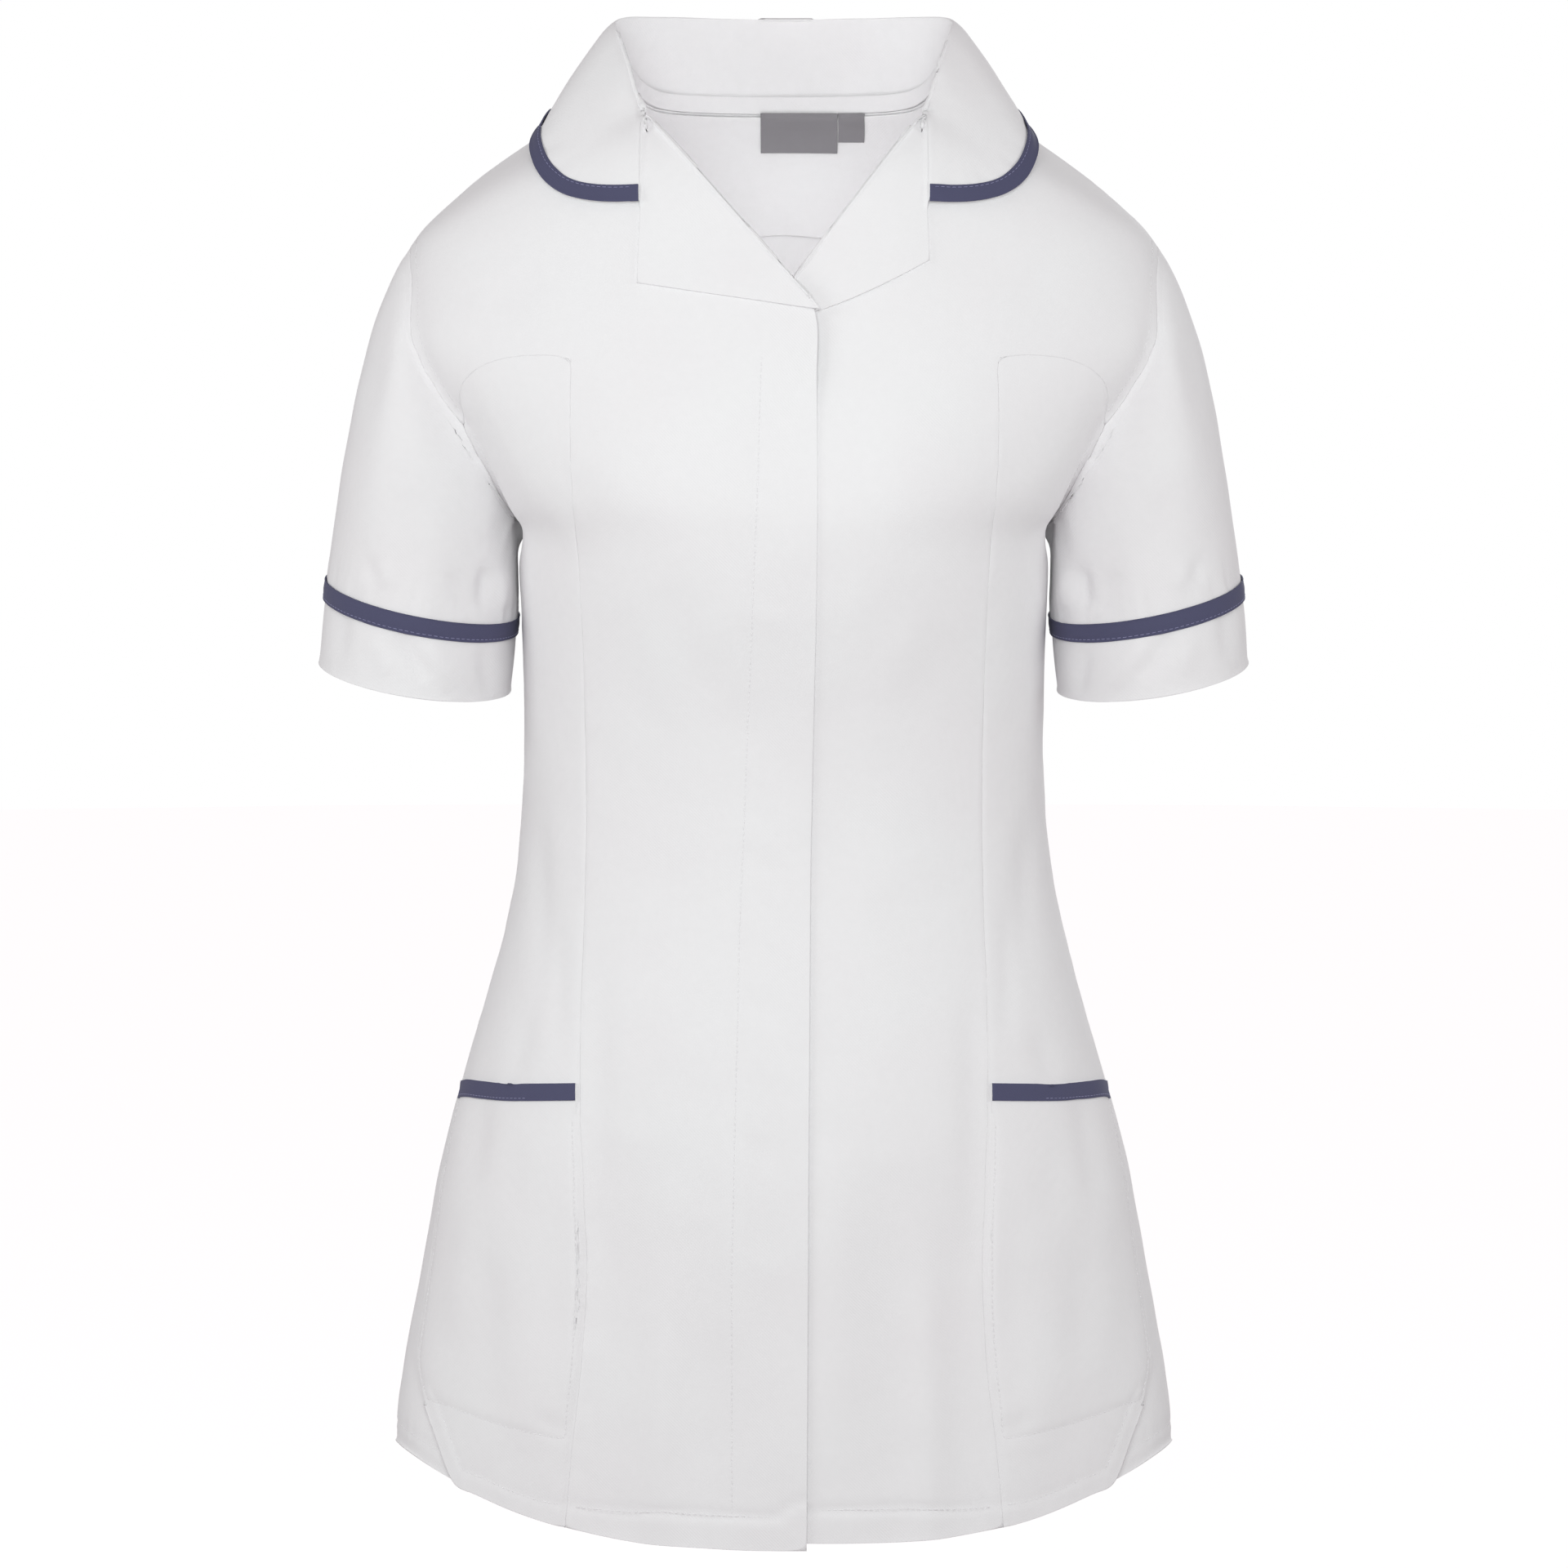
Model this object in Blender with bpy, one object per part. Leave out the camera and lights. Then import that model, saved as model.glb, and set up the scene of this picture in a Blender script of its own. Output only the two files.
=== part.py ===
"""A short-sleeved medical tunic, filled out as if worn: hollow walls of cloth, one object per cut piece.

Sizes are in millimetres and turn to metres when a mesh is made. The front of the tunic faces -Y, +Z is up,
and the origin is in the middle of the neck, level with the highest points of the shoulder seams.

Most pieces are patches of one body surface. A place on it is an angle round the body, which is 0 at the
centre front, 90 at the side and 180 at the centre back, and a height. Pieces are worked out for the +X
side, which is the wearer's left, and turned over for the other side.
"""

import math

import bpy
import numpy as np

MM = 0.001

# Walls, gaps and tape
CLOTH = 1.2
TRIM = 1.0
GAP = 0.3
TAPE_WIDTH = 8.5

# The body surface: half its width, and its depth before and behind the side line, at each height. Between
# the armpit and the shoulder point the width is that of the section as if no sleeve cut it.
BODY_COLUMNS = ("height", "half_width", "front", "back")
BODY = (
    (-745, 201.5, 127, 127),
    (-705, 201.5, 127, 127),
    (-670, 198.8, 127, 127),
    (-616, 189.1, 126, 125),
    (-563, 179.6, 125, 123),
    (-518, 168.3, 122, 119),
    (-497, 161.9, 120, 116),
    (-459, 150.8, 115, 109),
    (-424, 141.4, 110, 101),
    (-374, 134.4, 106, 94),
    (-334, 132.7, 108, 93),
    (-283, 134.1, 119, 98),
    (-250, 135.2, 125, 102),
    (-229, 137.0, 127, 105),
    (-216, 149.0, 128, 107),
    (-196, 165.5, 126, 109),
    (-177, 179.0, 123, 110),
    (-154, 195.5, 118, 111),
    (-131, 205.5, 112, 110),
    (-117, 202.0, 109, 108),
    (-101, 196.0, 105, 106),
    (-83, 190.4, 99, 103),
    (-57, 165.0, 93, 95),
    (-27, 124.6, 81, 79),
    (-15, 103.4, 73, 68),
    (0, 78.0, 58, 56),
    (12, 52.0, 40, 40),
)
ROUNDNESS = 2.2  # 2 is an ellipse, more is squarer
BUST_AT = (82, -212)
BUST_SPREAD = (55, 62)
BUST_RISE = 9

# Soft folds of the body surface, each along a line, as wide at the middle as twice its width here
FOLD_COLUMNS = ("x", "height", "end_x", "end_height", "width", "depth")
FRONT_FOLDS = (
    (170, -146, 137, -218, 9, 3.4),
    (108, -318, 134, -292, 10, 1.6),
    (150, -560, 172, -690, 15, 2.2),
)
BACK_FOLDS = (
    (166, -140, 135, -216, 10, 3.2),
    (92, -352, 130, -318, 12, 2.0),
    (60, -480, 78, -690, 20, 2.6),
    (132, -520, 150, -690, 17, 2.2),
)
FOLD_FADE = 0.5  # share of its length over which a fold fades out at each end, from a little past the end
FOLD_PAST_END = 0.15

# Heights at which every body piece has a row of points. The lowest is the hem, which is not level.
FRONT_COLUMNS = 6
SIDE_COLUMNS = 6
BACK_COLUMNS = 9
HEM_LEVEL = -730
HEM_BEND = -640
SKIRT_LEVELS = (HEM_LEVEL, -708, -684, -662, HEM_BEND, -600, -560, -520, -480, -440, -400)
LOW_LEVELS = SKIRT_LEVELS + (-360, -320, -285, -255, -229)
BUST_LEVELS = (-212, -192, -171, -152, -139)
CHEST_LEVELS = (-122, -105, -88, -71, -54, -37, -21)
SHOULDER_LEVELS = (-72, -61, -50.5, -40, -30, -21)
NECK_LEVELS = (-17, -13, -9, -5, -1.5)

# Hem height at angles round the body, on the fronts and on the back
FRONT_HEM = ((0, -732), (17.7, -729.5), (33.1, -722.3), (53.1, -708.3), (60, -704))
BACK_HEM = (
    (50, -710), (60, -703.5), (67, -699.5), (74, -697), (81, -697.5), (90, -701), (108, -716), (130, -727),
    (180, -729),
)
UNDER_HEM_RISE = 4

# Seams, as height and half width, or as height and angle
PRINCESS_SEAM = (
    (-731, 111), (-680, 106.5), (-633, 101.5), (-596, 100), (-509, 102.5), (-352, 99.5),
    (-261, 101.5), (-220, 104), (-192, 106), (-139, 106),
)
CHEST_LINE = ((-139, 106), (-90, 112), (-50, 115), (-21, 116.5))
SIDE_SEAM = ((-640, 74.5), (-600, 76), (-550, 80), (-500, 84.5), (-450, 88), (-400, 90), (-229, 90))

# The vent at each side: the angles of its two edges, how far the back lies behind the front there, and the
# degrees of the back over which that fades out
VENT_COLUMNS = ("height", "front_edge", "back_edge", "setback")
VENT = (
    (-712, 54.0, 49.5, 3.2),
    (-700, 56.4, 52.6, 3.1),
    (-690, 59.4, 56.6, 3.0),
    (-676, 64.4, 63.6, 2.4),
    (-664, 69.3, 69.6, 1.6),
    (-652, 73.2, 73.3, 0.6),
    (-640, 74.5, 74.5, 0.0),
)
VENT_REACH = 14
BUST_SEAM_RISE = 13.3
BUST_SEAM_GROWTH = 1.5  # power with which the rows below take up its curve
SETTLING_ROUNDS = 8  # halvings that bring a place near the hem to its level

# The armhole: a ring that leans out from the armpit to the shoulder point
ARMHOLE_TOP = -83
ARMHOLE_BOTTOM = -229
ARMHOLE_DEPTH = {"front": 56, "back": 50}
ARMHOLE_LOW_FULLNESS = 0.12
ARMHOLE_STEPS = 12
ARMHOLE_SAMPLES = 181
BUST_SEAM_END = 7  # the ring's point where the bust seam meets it, counted from the shoulder

# Front edges and neckline
OVERLAP_EDGE = ((-731, 11.4), (-420, 13.2), (-200, 16.5), (-115, 16))
ROLL_TOP = (70, -18)
ROLL_STEPS = (0.0, 0.14, 0.29, 0.44, 0.58, 0.72, 0.86, 1.0)
ROLL_TOP_GAP = 1
FRONTS = {
    "right": {"side": -1, "under": False, "edge_top": (-16, -115), "lapel_corner": (72.5, -102.3), "sag": 0},
    "left": {"side": 1, "under": True, "edge_top": (-12, -122), "lapel_corner": (71.7, -91.4), "sag": 4},
}
UNDER_EDGE = -15
FRONT_NECKLINE = ((70, -18), (72.8, -13), (75, -9), (76.7, -5), (77.8, -1.5))
BACK_NECKLINE = (
    (0, -15), (24, -14.9), (44, -14.4), (58, -13.6), (65, -12.6), (70, -11), (73.5, -8.6), (76, -5.4),
    (77.6, -2),
)
NECK_POINT = (78, 0)
CENTRE_BACK_LEVELS = (-212, -195, -178, -161, -145, -130, -116, -103, -90, -77, -64, -52, -40, -28)

# The under front is set back behind the other front, and more so where its lapel rolls: from the first x of
# the span, over to the second, and between the two heights
UNDER_SETBACK = 2.0
UNDER_LAPEL_SETBACK = 2.2
UNDER_SPAN = (50, 15)
UNDER_LAPEL_SPAN = (-175, -135)

# Lapel: how high it rolls, and how far it lies off the front
ROLL_RADIUS = 1.8
ROLL_TURNS = (-90, -45, 0, 45, 90)
LAPEL_EASE = 0.9
LAPEL_STEPS = (0.1, 0.28, 0.46, 0.64, 0.82, 1.0)
LAPEL_ROLL_REACH = 0.5  # share of the lapel's width over which its roll flattens
LAPEL_NARROW = (4, 30)  # widths between which the roll grows to its full height
LAPEL_END = 0.975

# Collar: along is 0 at the centre back and 1 at the front end. The fold is a point, and the outer edge is
# an angle round the body and a height.
COLLAR_CLOTH = 1.5
COLLAR_SEAM = 0.2
COLLAR_COLUMNS = ("along", "fold_x", "fold_y", "fold_height", "edge_angle", "edge_height")
COLLAR = (
    (0.00, 0, 60, 34, 180, -32),
    (0.15, 28, 57, 34, 164.8, -33),
    (0.30, 54, 46, 34, 148, -33),
    (0.43, 71, 31, 33.5, 132.5, -31),
    (0.53, 80, 18, 33, 113, -28),
    (0.62, 86, 2, 30.5, 90, -24),
    (0.72, 84, -15, 25, 60, -39),
    (0.80, 81, -27, 17, 45.2, -53),
    (0.88, 77, -41, 5, 36, -60.5),
    (0.95, 73.5, -52, -8, 28, -62.9),
    (1.00, 70.6, -60, -15, 22.4, -62.4),
)
COLLAR_STATIONS = (
    0, 0.1, 0.2, 0.29, 0.37, 0.45, 0.52, 0.58, 0.64, 0.69, 0.74, 0.79, 0.84, 0.88, 0.92, 0.96, 1
)
STAND_STEPS = (0.6, 0.92, 1)
FALL_STEPS = (0.16, 0.36, 0.58)
FALL_BULGE = 0.9
COLLAR_EASE = 1.8
FOLD_WIDTH = 5.6
FOLD_DROP = 4
TRIM_OVERHANG = 0.06  # share of the trim's width that stands past the collar's edge

# Sleeve: the ring at the top of its tape and the ring at the hem of the cuff
TAPE_RING = {"centre": (185.4, 0, -262.8), "half_width": 50.1, "half_depth": 58, "rise": 11.5, "drop": 7}
CUFF_RING = {"centre": (189.6, 0, -302.9), "half_width": 49.9, "half_depth": 57, "rise": 9, "drop": 7.3}
CUFF_DEPTH = 40
CUFF_ROWS = 4
SLEEVE_OFF_BODY = 0.5
SLEEVE_STEPS = (0, 0.07, 0.16, 0.27, 0.4, 0.54, 0.68, 0.82, 1)
SLEEVE_SEAM_TURN = 0.6  # how soon the sleeve turns flush with the body at its seam

# The sleeve leaves its seam and arrives at the tape in these directions: a mean, and what the outer side
# adds; the front and back sides also lean out along Y. Handles are shares of the distance.
SLEEVE_LEAVE = ((0.31, -0.9), 0.26)
SLEEVE_LEAVE_LEAN = 0.3
SLEEVE_LEAVE_HANDLE = (0.2, 0.12)
SLEEVE_ARRIVE = ((0.12, -1), 0.06)
SLEEVE_ARRIVE_HANDLE = 0.3

# Pockets, in shares of the side front's width, and heights of the mouth along it
POCKET_SPAN = (0.012, 0.985)
POCKET_MOUTH = ((0, -500.5), (0.55, -505.7), (0.8, -507.3), (1, -511))
POCKET_BOTTOM = -684
POCKET_GAPE = 2.2

# Inside the neck
NECK_TAPE_HEIGHT = 9
NECK_TAPE_MOST = 0.45  # of the collar's stand
NECK_TAPE_END = 0.72
FACING_ROWS = (len(LOW_LEVELS) + 9, len(LOW_LEVELS) + 17)  # rows of the back, at its foot and its shoulder
FACING_REACH = (1.8, BACK_COLUMNS)  # columns of the back, at those rows
FACING_BELOW_NECK = 0.12  # of a row
FACING_COLUMNS = 5
LABEL_SLACK = 0.8
LABELS = {"neck_label": (-12.3, 28.3, -15.3, -33.4), "size_tab": (28.7, 42.6, -15.3, -27.6)}

WHITE_COTTON = (0.83, 0.83, 0.84)
SLATE_TAPE = (0.085, 0.087, 0.21)
GREY_LABEL = (0.2, 0.2, 0.22)


def smooth(points):
    """A curve through (x, y) points that never swings past them."""
    xs, ys = (np.array(values, float) for values in zip(*sorted(points)))
    steps = np.diff(xs)
    slopes = np.diff(ys) / steps
    tangents = np.empty(len(xs))
    tangents[0], tangents[-1] = slopes[0], slopes[-1]
    for i in range(1, len(slopes)):
        same_way = slopes[i - 1] * slopes[i] > 0
        tangents[i] = 2 * slopes[i - 1] * slopes[i] / (slopes[i - 1] + slopes[i]) if same_way else 0

    def at(x):
        i = min(max(int(np.searchsorted(xs, x)) - 1, 0), len(steps) - 1)
        t = min(max((x - xs[i]) / steps[i], 0), 1)
        rise = t * t * (3 - 2 * t)
        leave = t * (1 - t) ** 2 * steps[i]
        arrive = t * t * (t - 1) * steps[i]
        return ys[i] + rise * (ys[i + 1] - ys[i]) + leave * tangents[i] + arrive * tangents[i + 1]

    return at


def table_curves(columns, rows):
    """One smooth curve for each column after the first."""
    keys = [row[0] for row in rows]
    return {name: smooth(zip(keys, [row[i] for row in rows])) for i, name in enumerate(columns) if i}


def ramp(value, start, end):
    """0 before start, 1 past end, and soft between."""
    t = min(max((value - start) / (end - start), 0), 1)
    return t * t * (3 - 2 * t)


def unit(vector):
    return vector / np.linalg.norm(vector)


body = table_curves(BODY_COLUMNS, BODY)
collar = table_curves(COLLAR_COLUMNS, COLLAR)
princess_seam = smooth(PRINCESS_SEAM)
chest_line = smooth(CHEST_LINE)
side_seam = smooth(SIDE_SEAM)
vent = table_curves(VENT_COLUMNS, VENT)
front_hem = smooth(FRONT_HEM)
back_hem = smooth(BACK_HEM)
overlap_edge = smooth(OVERLAP_EDGE)
pocket_mouth = smooth(POCKET_MOUTH)


def fold_depth(folds, x, height):
    """How far the cloth sinks at a place, in the soft folds that pass near it."""
    depth = 0
    for fold in folds:
        start, along = np.array(fold[:2], float), np.subtract(fold[2:4], fold[:2])
        length = np.linalg.norm(along)
        off = np.array([abs(x), height]) - start
        share = float(off @ along) / length**2
        across = abs(float(np.cross(along, off))) / length / fold[4]
        from_end = min(share, 1 - share) + FOLD_PAST_END
        depth += fold[5] * math.exp(-across * across) * ramp(from_end, 0, FOLD_FADE)
    return depth


def body_point(angle, height):
    turn = math.radians(angle)
    across, along = math.sin(turn), math.cos(turn)
    depth = body["front"](height) if along > 0 else body["back"](height)
    x = body["half_width"](height) * math.copysign(abs(across) ** (2 / ROUNDNESS), across)
    y = -depth * math.copysign(abs(along) ** (2 / ROUNDNESS), along)
    if along > 0:
        off_x = (abs(x) - BUST_AT[0]) / BUST_SPREAD[0]
        off_z = (height - BUST_AT[1]) / BUST_SPREAD[1]
        y -= BUST_RISE * along * math.exp(-off_x * off_x - off_z * off_z)
    fold = fold_depth(FRONT_FOLDS if along > 0 else BACK_FOLDS, x, height)
    return np.array([x - fold * across, y + fold * along, height])


def body_normal(angle, height):
    round_it = body_point(angle + 1, height) - body_point(angle - 1, height)
    up_it = body_point(angle, height + 1) - body_point(angle, height - 1)
    return unit(np.cross(round_it, up_it))


def front_angle(x, height):
    """The angle at which the front of the body surface is this far from the middle."""
    share = min(abs(x) / body["half_width"](height), 1)
    return math.degrees(math.asin(share ** (ROUNDNESS / 2))) * math.copysign(1, x)


def back_angle(x, height):
    return 180 - front_angle(x, height)


def at_hem(level, angle, hem):
    """The height of a level: below the bend the levels spread towards a hem that is not level."""
    if level >= HEM_BEND:
        return level
    share = (level - HEM_BEND) / (HEM_LEVEL - HEM_BEND)
    return HEM_BEND + share * (hem(min(max(abs(angle), 0), 180)) - HEM_BEND)


class Sheet:
    """Points of a surface with their outward normals, and the four-sided faces between them."""

    def __init__(self, points, normals, quads):
        self.points = np.array(points, float).reshape(-1, 3)
        self.normals = np.array(normals, float).reshape(-1, 3)
        self.quads = quads


def grid_quads(rows, columns, ring=False):
    """Faces of a grid whose rows go up as its columns go round anticlockwise."""
    quads = []
    for r in range(rows - 1):
        for c in range(columns if ring else columns - 1):
            here, beside = r * columns + c, r * columns + (c + 1) % columns
            quads.append((here, beside, beside + columns, here + columns))
    return quads


def grid_normals(points, ring=False):
    """Normals of a grid from the points beside each one."""
    points = np.array(points, float)
    if ring:
        across = np.roll(points, -1, axis=1) - np.roll(points, 1, axis=1)
    else:
        across = np.gradient(points, axis=1)
    normals = np.cross(across, np.gradient(points, axis=0))
    return normals / np.linalg.norm(normals, axis=2, keepdims=True)


def grid_sheet(points, normals, ring=False):
    return Sheet(points, normals, grid_quads(len(points), len(points[0]), ring))


def body_grid(places, lift=lambda point: 0):
    """Points and normals at rows of (angle, height) places on the body surface, lifted off it."""
    normals = np.array([[body_normal(*place) for place in row] for row in places])
    points = np.array([[body_point(*place) for place in row] for row in places])
    lifts = [[lift(point) for point in row] for row in points]
    return points + normals * np.array(lifts, float)[:, :, None], normals


def body_sheet(places, lift=lambda point: 0):
    return grid_sheet(*body_grid(places, lift))


def on_grid(grid, row, column, lift):
    """A point and its normal on the facets of a grid, so that what lies on a panel fits it."""
    r, c = min(int(row), len(grid[0]) - 2), min(int(column), len(grid[0][0]) - 2)
    v, u = row - r, column - c
    points, normals = (layer[[r, r, r + 1, r + 1], [c, c + 1, c + 1, c]] for layer in grid)
    if first_diagonal_is_out(*points, normals.sum(axis=0)):
        weights = (1 - u, u - v, v, 0) if u >= v else (1 - v, 0, u, v - u)
    else:
        weights = (1 - u - v, u, 0, v) if u + v <= 1 else (0, 1 - v, u + v - 1, 1 - u)
    normal = unit(np.array(weights) @ normals)
    return np.array(weights) @ points + normal * lift, normal


def laid_on(grid, places, lift):
    """A grid over rows of (row, column) places of another grid; lift gives how far off each one is."""
    pairs = [[on_grid(grid, *place, lift(*place)) for place in line] for line in places]
    points, normals = (np.array([[pair[i] for pair in line] for line in pairs]) for i in (0, 1))
    return points, normals


def turned_over(sheet):
    """The same sheet on the -X side."""
    flip = np.array([-1, 1, 1])
    return Sheet(sheet.points * flip, sheet.normals * flip, [quad[::-1] for quad in sheet.quads])


def joined(*sheets):
    """Sheets as one, with points that coincide made one."""
    points, normals, quads, known = [], [], [], {}
    for sheet in sheets:
        place = []
        for point, normal in zip(sheet.points, sheet.normals):
            key = tuple(np.round(point, 3) + 0.0)
            if key not in known:
                known[key] = len(points)
                points.append(point)
                normals.append(normal)
            place.append(known[key])
        quads += [tuple(place[i] for i in quad) for quad in sheet.quads]
    return Sheet(points, normals, quads)


def first_diagonal_is_out(a, b, c, d, normal):
    """Whether a four-sided face stands out further along a-c than along b-d."""
    return float(np.dot(a + c - b - d, normal)) > 0


def in_triangles(sheet):
    """The faces of a sheet cut in two, each along the diagonal that makes it bulge outward."""
    triangles = []
    for a, b, c, d in sheet.quads:
        corners = sheet.points[[a, b, c, d]]
        if first_diagonal_is_out(*corners, sheet.normals[[a, b, c, d]].sum(axis=0)):
            triangles += [(a, b, c), (a, c, d)]
        else:
            triangles += [(b, c, d), (b, d, a)]
    return triangles


def edges_once(quads):
    """Edges that only one face has, in that face's direction."""
    edges = [(quad[i], quad[(i + 1) % 4]) for quad in quads for i in range(4)]
    present = set(edges)
    return [edge for edge in edges if edge[::-1] not in present]


def drawn_in(sheet, amount):
    """The sheet with its outline moved in by this much, which opens the seams."""
    move = np.zeros_like(sheet.points)
    for a, b in edges_once(sheet.quads):
        inward = np.cross(sheet.normals[a] + sheet.normals[b], sheet.points[b] - sheet.points[a])
        move[a] += unit(inward)
        move[b] += unit(inward)
    lengths = np.linalg.norm(move, axis=1, keepdims=True)
    move = np.divide(move, lengths, out=np.zeros_like(move), where=lengths > 0)
    return Sheet(sheet.points + move * amount, sheet.normals, sheet.quads)


def cloth_material(name, colour, roughness):
    material = bpy.data.materials.new(name)
    material.use_nodes = True
    shader = material.node_tree.nodes["Principled BSDF"]
    shader.inputs["Base Color"].default_value = (*colour, 1)
    shader.inputs["Roughness"].default_value = roughness
    shader.inputs["Metallic"].default_value = 0
    return material


def make_wall(name, sheet, colour=WHITE_COTTON, thickness=CLOTH, seam=GAP / 2, side=1, roughness=0.85):
    """A closed wall of cloth under a sheet, made into a named object."""
    if side < 0:
        sheet = turned_over(sheet)
    if seam:
        sheet = drawn_in(sheet, seam)
    count = len(sheet.points)
    points = np.concatenate([sheet.points, sheet.points - sheet.normals * thickness])
    faces = in_triangles(sheet)
    faces += [tuple(i + count for i in triangle[::-1]) for triangle in faces]
    faces += [(b, a, a + count, b + count) for a, b in edges_once(sheet.quads)]
    mesh = bpy.data.meshes.new(name)
    mesh.from_pydata((points * MM).tolist(), [], faces)
    mesh.shade_smooth()
    mesh.set_sharp_from_angle(angle=math.radians(50))
    mesh.materials.append(cloth_material(name, colour, roughness))
    piece = bpy.data.objects.new(name, mesh)
    bpy.context.scene.collection.objects.link(piece)
    return piece


def between(inner, outer, steps):
    """A row of places from one to the other."""
    return [tuple(np.array(inner) + (np.array(outer) - inner) * i / steps) for i in range(steps + 1)]


def armhole_ring(face):
    """Places along the front or back half of the armhole, evenly spaced from the shoulder to the armpit."""
    middle = (ARMHOLE_TOP + ARMHOLE_BOTTOM) / 2
    half = (ARMHOLE_TOP - ARMHOLE_BOTTOM) / 2
    places = []
    for turn in np.linspace(0, math.pi, ARMHOLE_SAMPLES):
        height = middle + half * math.cos(turn)
        depth = ARMHOLE_DEPTH[face] * math.sin(turn) * (1 - ARMHOLE_LOW_FULLNESS * math.cos(turn))
        angle = math.degrees(math.acos((max(depth, 0) / body[face](height)) ** (ROUNDNESS / 2)))
        places.append((angle if face == "front" else 180 - angle, height))
    points = np.array([body_point(*place) for place in places])
    run = np.concatenate([[0], np.cumsum(np.linalg.norm(np.diff(points, axis=0), axis=1))])
    wanted = np.linspace(0, run[-1], ARMHOLE_STEPS + 1)
    angles, heights = np.array(places).T
    return list(zip(np.interp(wanted, run, angles), np.interp(wanted, run, heights)))


FRONT_RING = armhole_ring("front")
BACK_RING = armhole_ring("back")


def bust_seam(share):
    """The seam that curves from the top of the princess seam, at share 0, to the armhole."""
    start = (front_angle(princess_seam(BUST_LEVELS[-1]), BUST_LEVELS[-1]), BUST_LEVELS[-1])
    angle, height = np.array(start) + (np.array(FRONT_RING[BUST_SEAM_END]) - start) * share
    return angle, height + BUST_SEAM_RISE * 4 * share * (1 - share)


def front_side_edge(height):
    return side_seam(height) if height >= HEM_BEND else vent["front_edge"](height)


def back_side_edge(height):
    return side_seam(height) if height >= HEM_BEND else vent["back_edge"](height)


def princess_angle(height):
    return front_angle(princess_seam(height), height)


def side_front_place(share, level):
    """A place on a side front below the armpit, from the princess seam, at share 0, to its outer edge."""
    height = level
    for _ in range(SETTLING_ROUNDS):
        angle = princess_angle(height) * (1 - share) + front_side_edge(height) * share
        height = (height + at_hem(level, angle, front_hem)) / 2
    return princess_angle(height) * (1 - share) + front_side_edge(height) * share, height


def side_front_grid():
    shares = [c / SIDE_COLUMNS for c in range(SIDE_COLUMNS + 1)]
    rows = [[side_front_place(share, level) for share in shares] for level in LOW_LEVELS]
    for i, level in enumerate(BUST_LEVELS):
        outer = FRONT_RING[ARMHOLE_STEPS - 1 - i]
        rise = BUST_SEAM_RISE * (i / (len(BUST_LEVELS) - 1)) ** BUST_SEAM_GROWTH
        row = between((princess_angle(level), level), outer, SIDE_COLUMNS)
        rows.append([(angle, height + rise * 4 * t * (1 - t)) for (angle, height), t in zip(row, shares)])
    return body_grid(rows)


def roll_place(front, share):
    """A place on the line where a lapel turns back, from the front edge, at share 0, to the neckline."""
    x, height = np.array(front["edge_top"]) + (np.array(ROLL_TOP) - front["edge_top"]) * share
    return x, height


def front_edge_x(front, height):
    return UNDER_EDGE if front["under"] else -overlap_edge(height)


def under_setback(front):
    """How far a front is lifted off the body surface: the covered one is set back behind the other."""
    if not front["under"]:
        return lambda point: 0

    def lift(point):
        depth = UNDER_SETBACK + UNDER_LAPEL_SETBACK * ramp(point[2], *UNDER_LAPEL_SPAN)
        return -depth * ramp(point[0], *UNDER_SPAN)

    return lift


def front_sheet(front):
    """A centre front: a block from the front edge out to the princess seam, and one over the bust seam."""
    rows = []
    for level in LOW_LEVELS + BUST_LEVELS:
        inner_angle = front_angle(front_edge_x(front, level), level)
        rise = UNDER_HEM_RISE * ramp(level, HEM_BEND, HEM_LEVEL) if front["under"] else 0
        row = []
        for c in range(FRONT_COLUMNS + 1):
            share = c / FRONT_COLUMNS
            height = at_hem(level, inner_angle * (1 - share) + princess_angle(level) * share, front_hem)
            inner = front_angle(front_edge_x(front, height), height)
            row.append((inner * (1 - share) + princess_angle(height) * share, height + rise * (1 - share)))
        rows.append(row)
    inners = [roll_place(front, share) for share in ROLL_STEPS[:-1]] + list(FRONT_NECKLINE)
    outers = [(front_angle(chest_line(level), level), level) for level in CHEST_LEVELS[:-1]]
    outers += [(90, level) for level in CHEST_LEVELS[-1:] + NECK_LEVELS]
    for (x, height), outer in zip(inners, outers):
        rows.append(between((front_angle(x, height), height), outer, FRONT_COLUMNS))
    centre = body_sheet(rows, under_setback(front))

    bottom = [bust_seam(c / SIDE_COLUMNS) for c in range(SIDE_COLUMNS + 1)]
    top = [(90, level) for level in SHOULDER_LEVELS[::-1] + (ARMHOLE_TOP,)]
    inner_side = [bottom[0]] + outers[:len(CHEST_LEVELS)]
    outer_side = FRONT_RING[BUST_SEAM_END::-1]
    shoulder = body_sheet(filled_block(bottom, top, inner_side, outer_side), under_setback(front))
    return joined(centre, shoulder)


def filled_block(bottom, top, inner, outer):
    """Rows of places inside four edges, each a list of places, by blending the edges across both ways."""
    bottom, top, inner, outer = (np.array(edge, float) for edge in (bottom, top, inner, outer))
    rows = []
    for r in range(len(inner)):
        v = r / (len(inner) - 1)
        row = []
        for c in range(len(bottom)):
            u = c / (len(bottom) - 1)
            low_corners = (1 - u) * bottom[0] + u * bottom[-1]
            high_corners = (1 - u) * top[0] + u * top[-1]
            up_and_across = (1 - v) * bottom[c] + v * top[c] + (1 - u) * inner[r] + u * outer[r]
            row.append(tuple(up_and_across - (1 - v) * low_corners - v * high_corners))
        rows.append(row)
    return rows


def back_place(share, level):
    """A place on the back below the armpit, from the centre back, at share 0, to the side seam or vent."""
    height = level
    for _ in range(SETTLING_ROUNDS):
        angle = 180 * (1 - share) + back_side_edge(height) * share
        height = (height + at_hem(level, angle, back_hem)) / 2
    return 180 * (1 - share) + back_side_edge(height) * share, height


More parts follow.
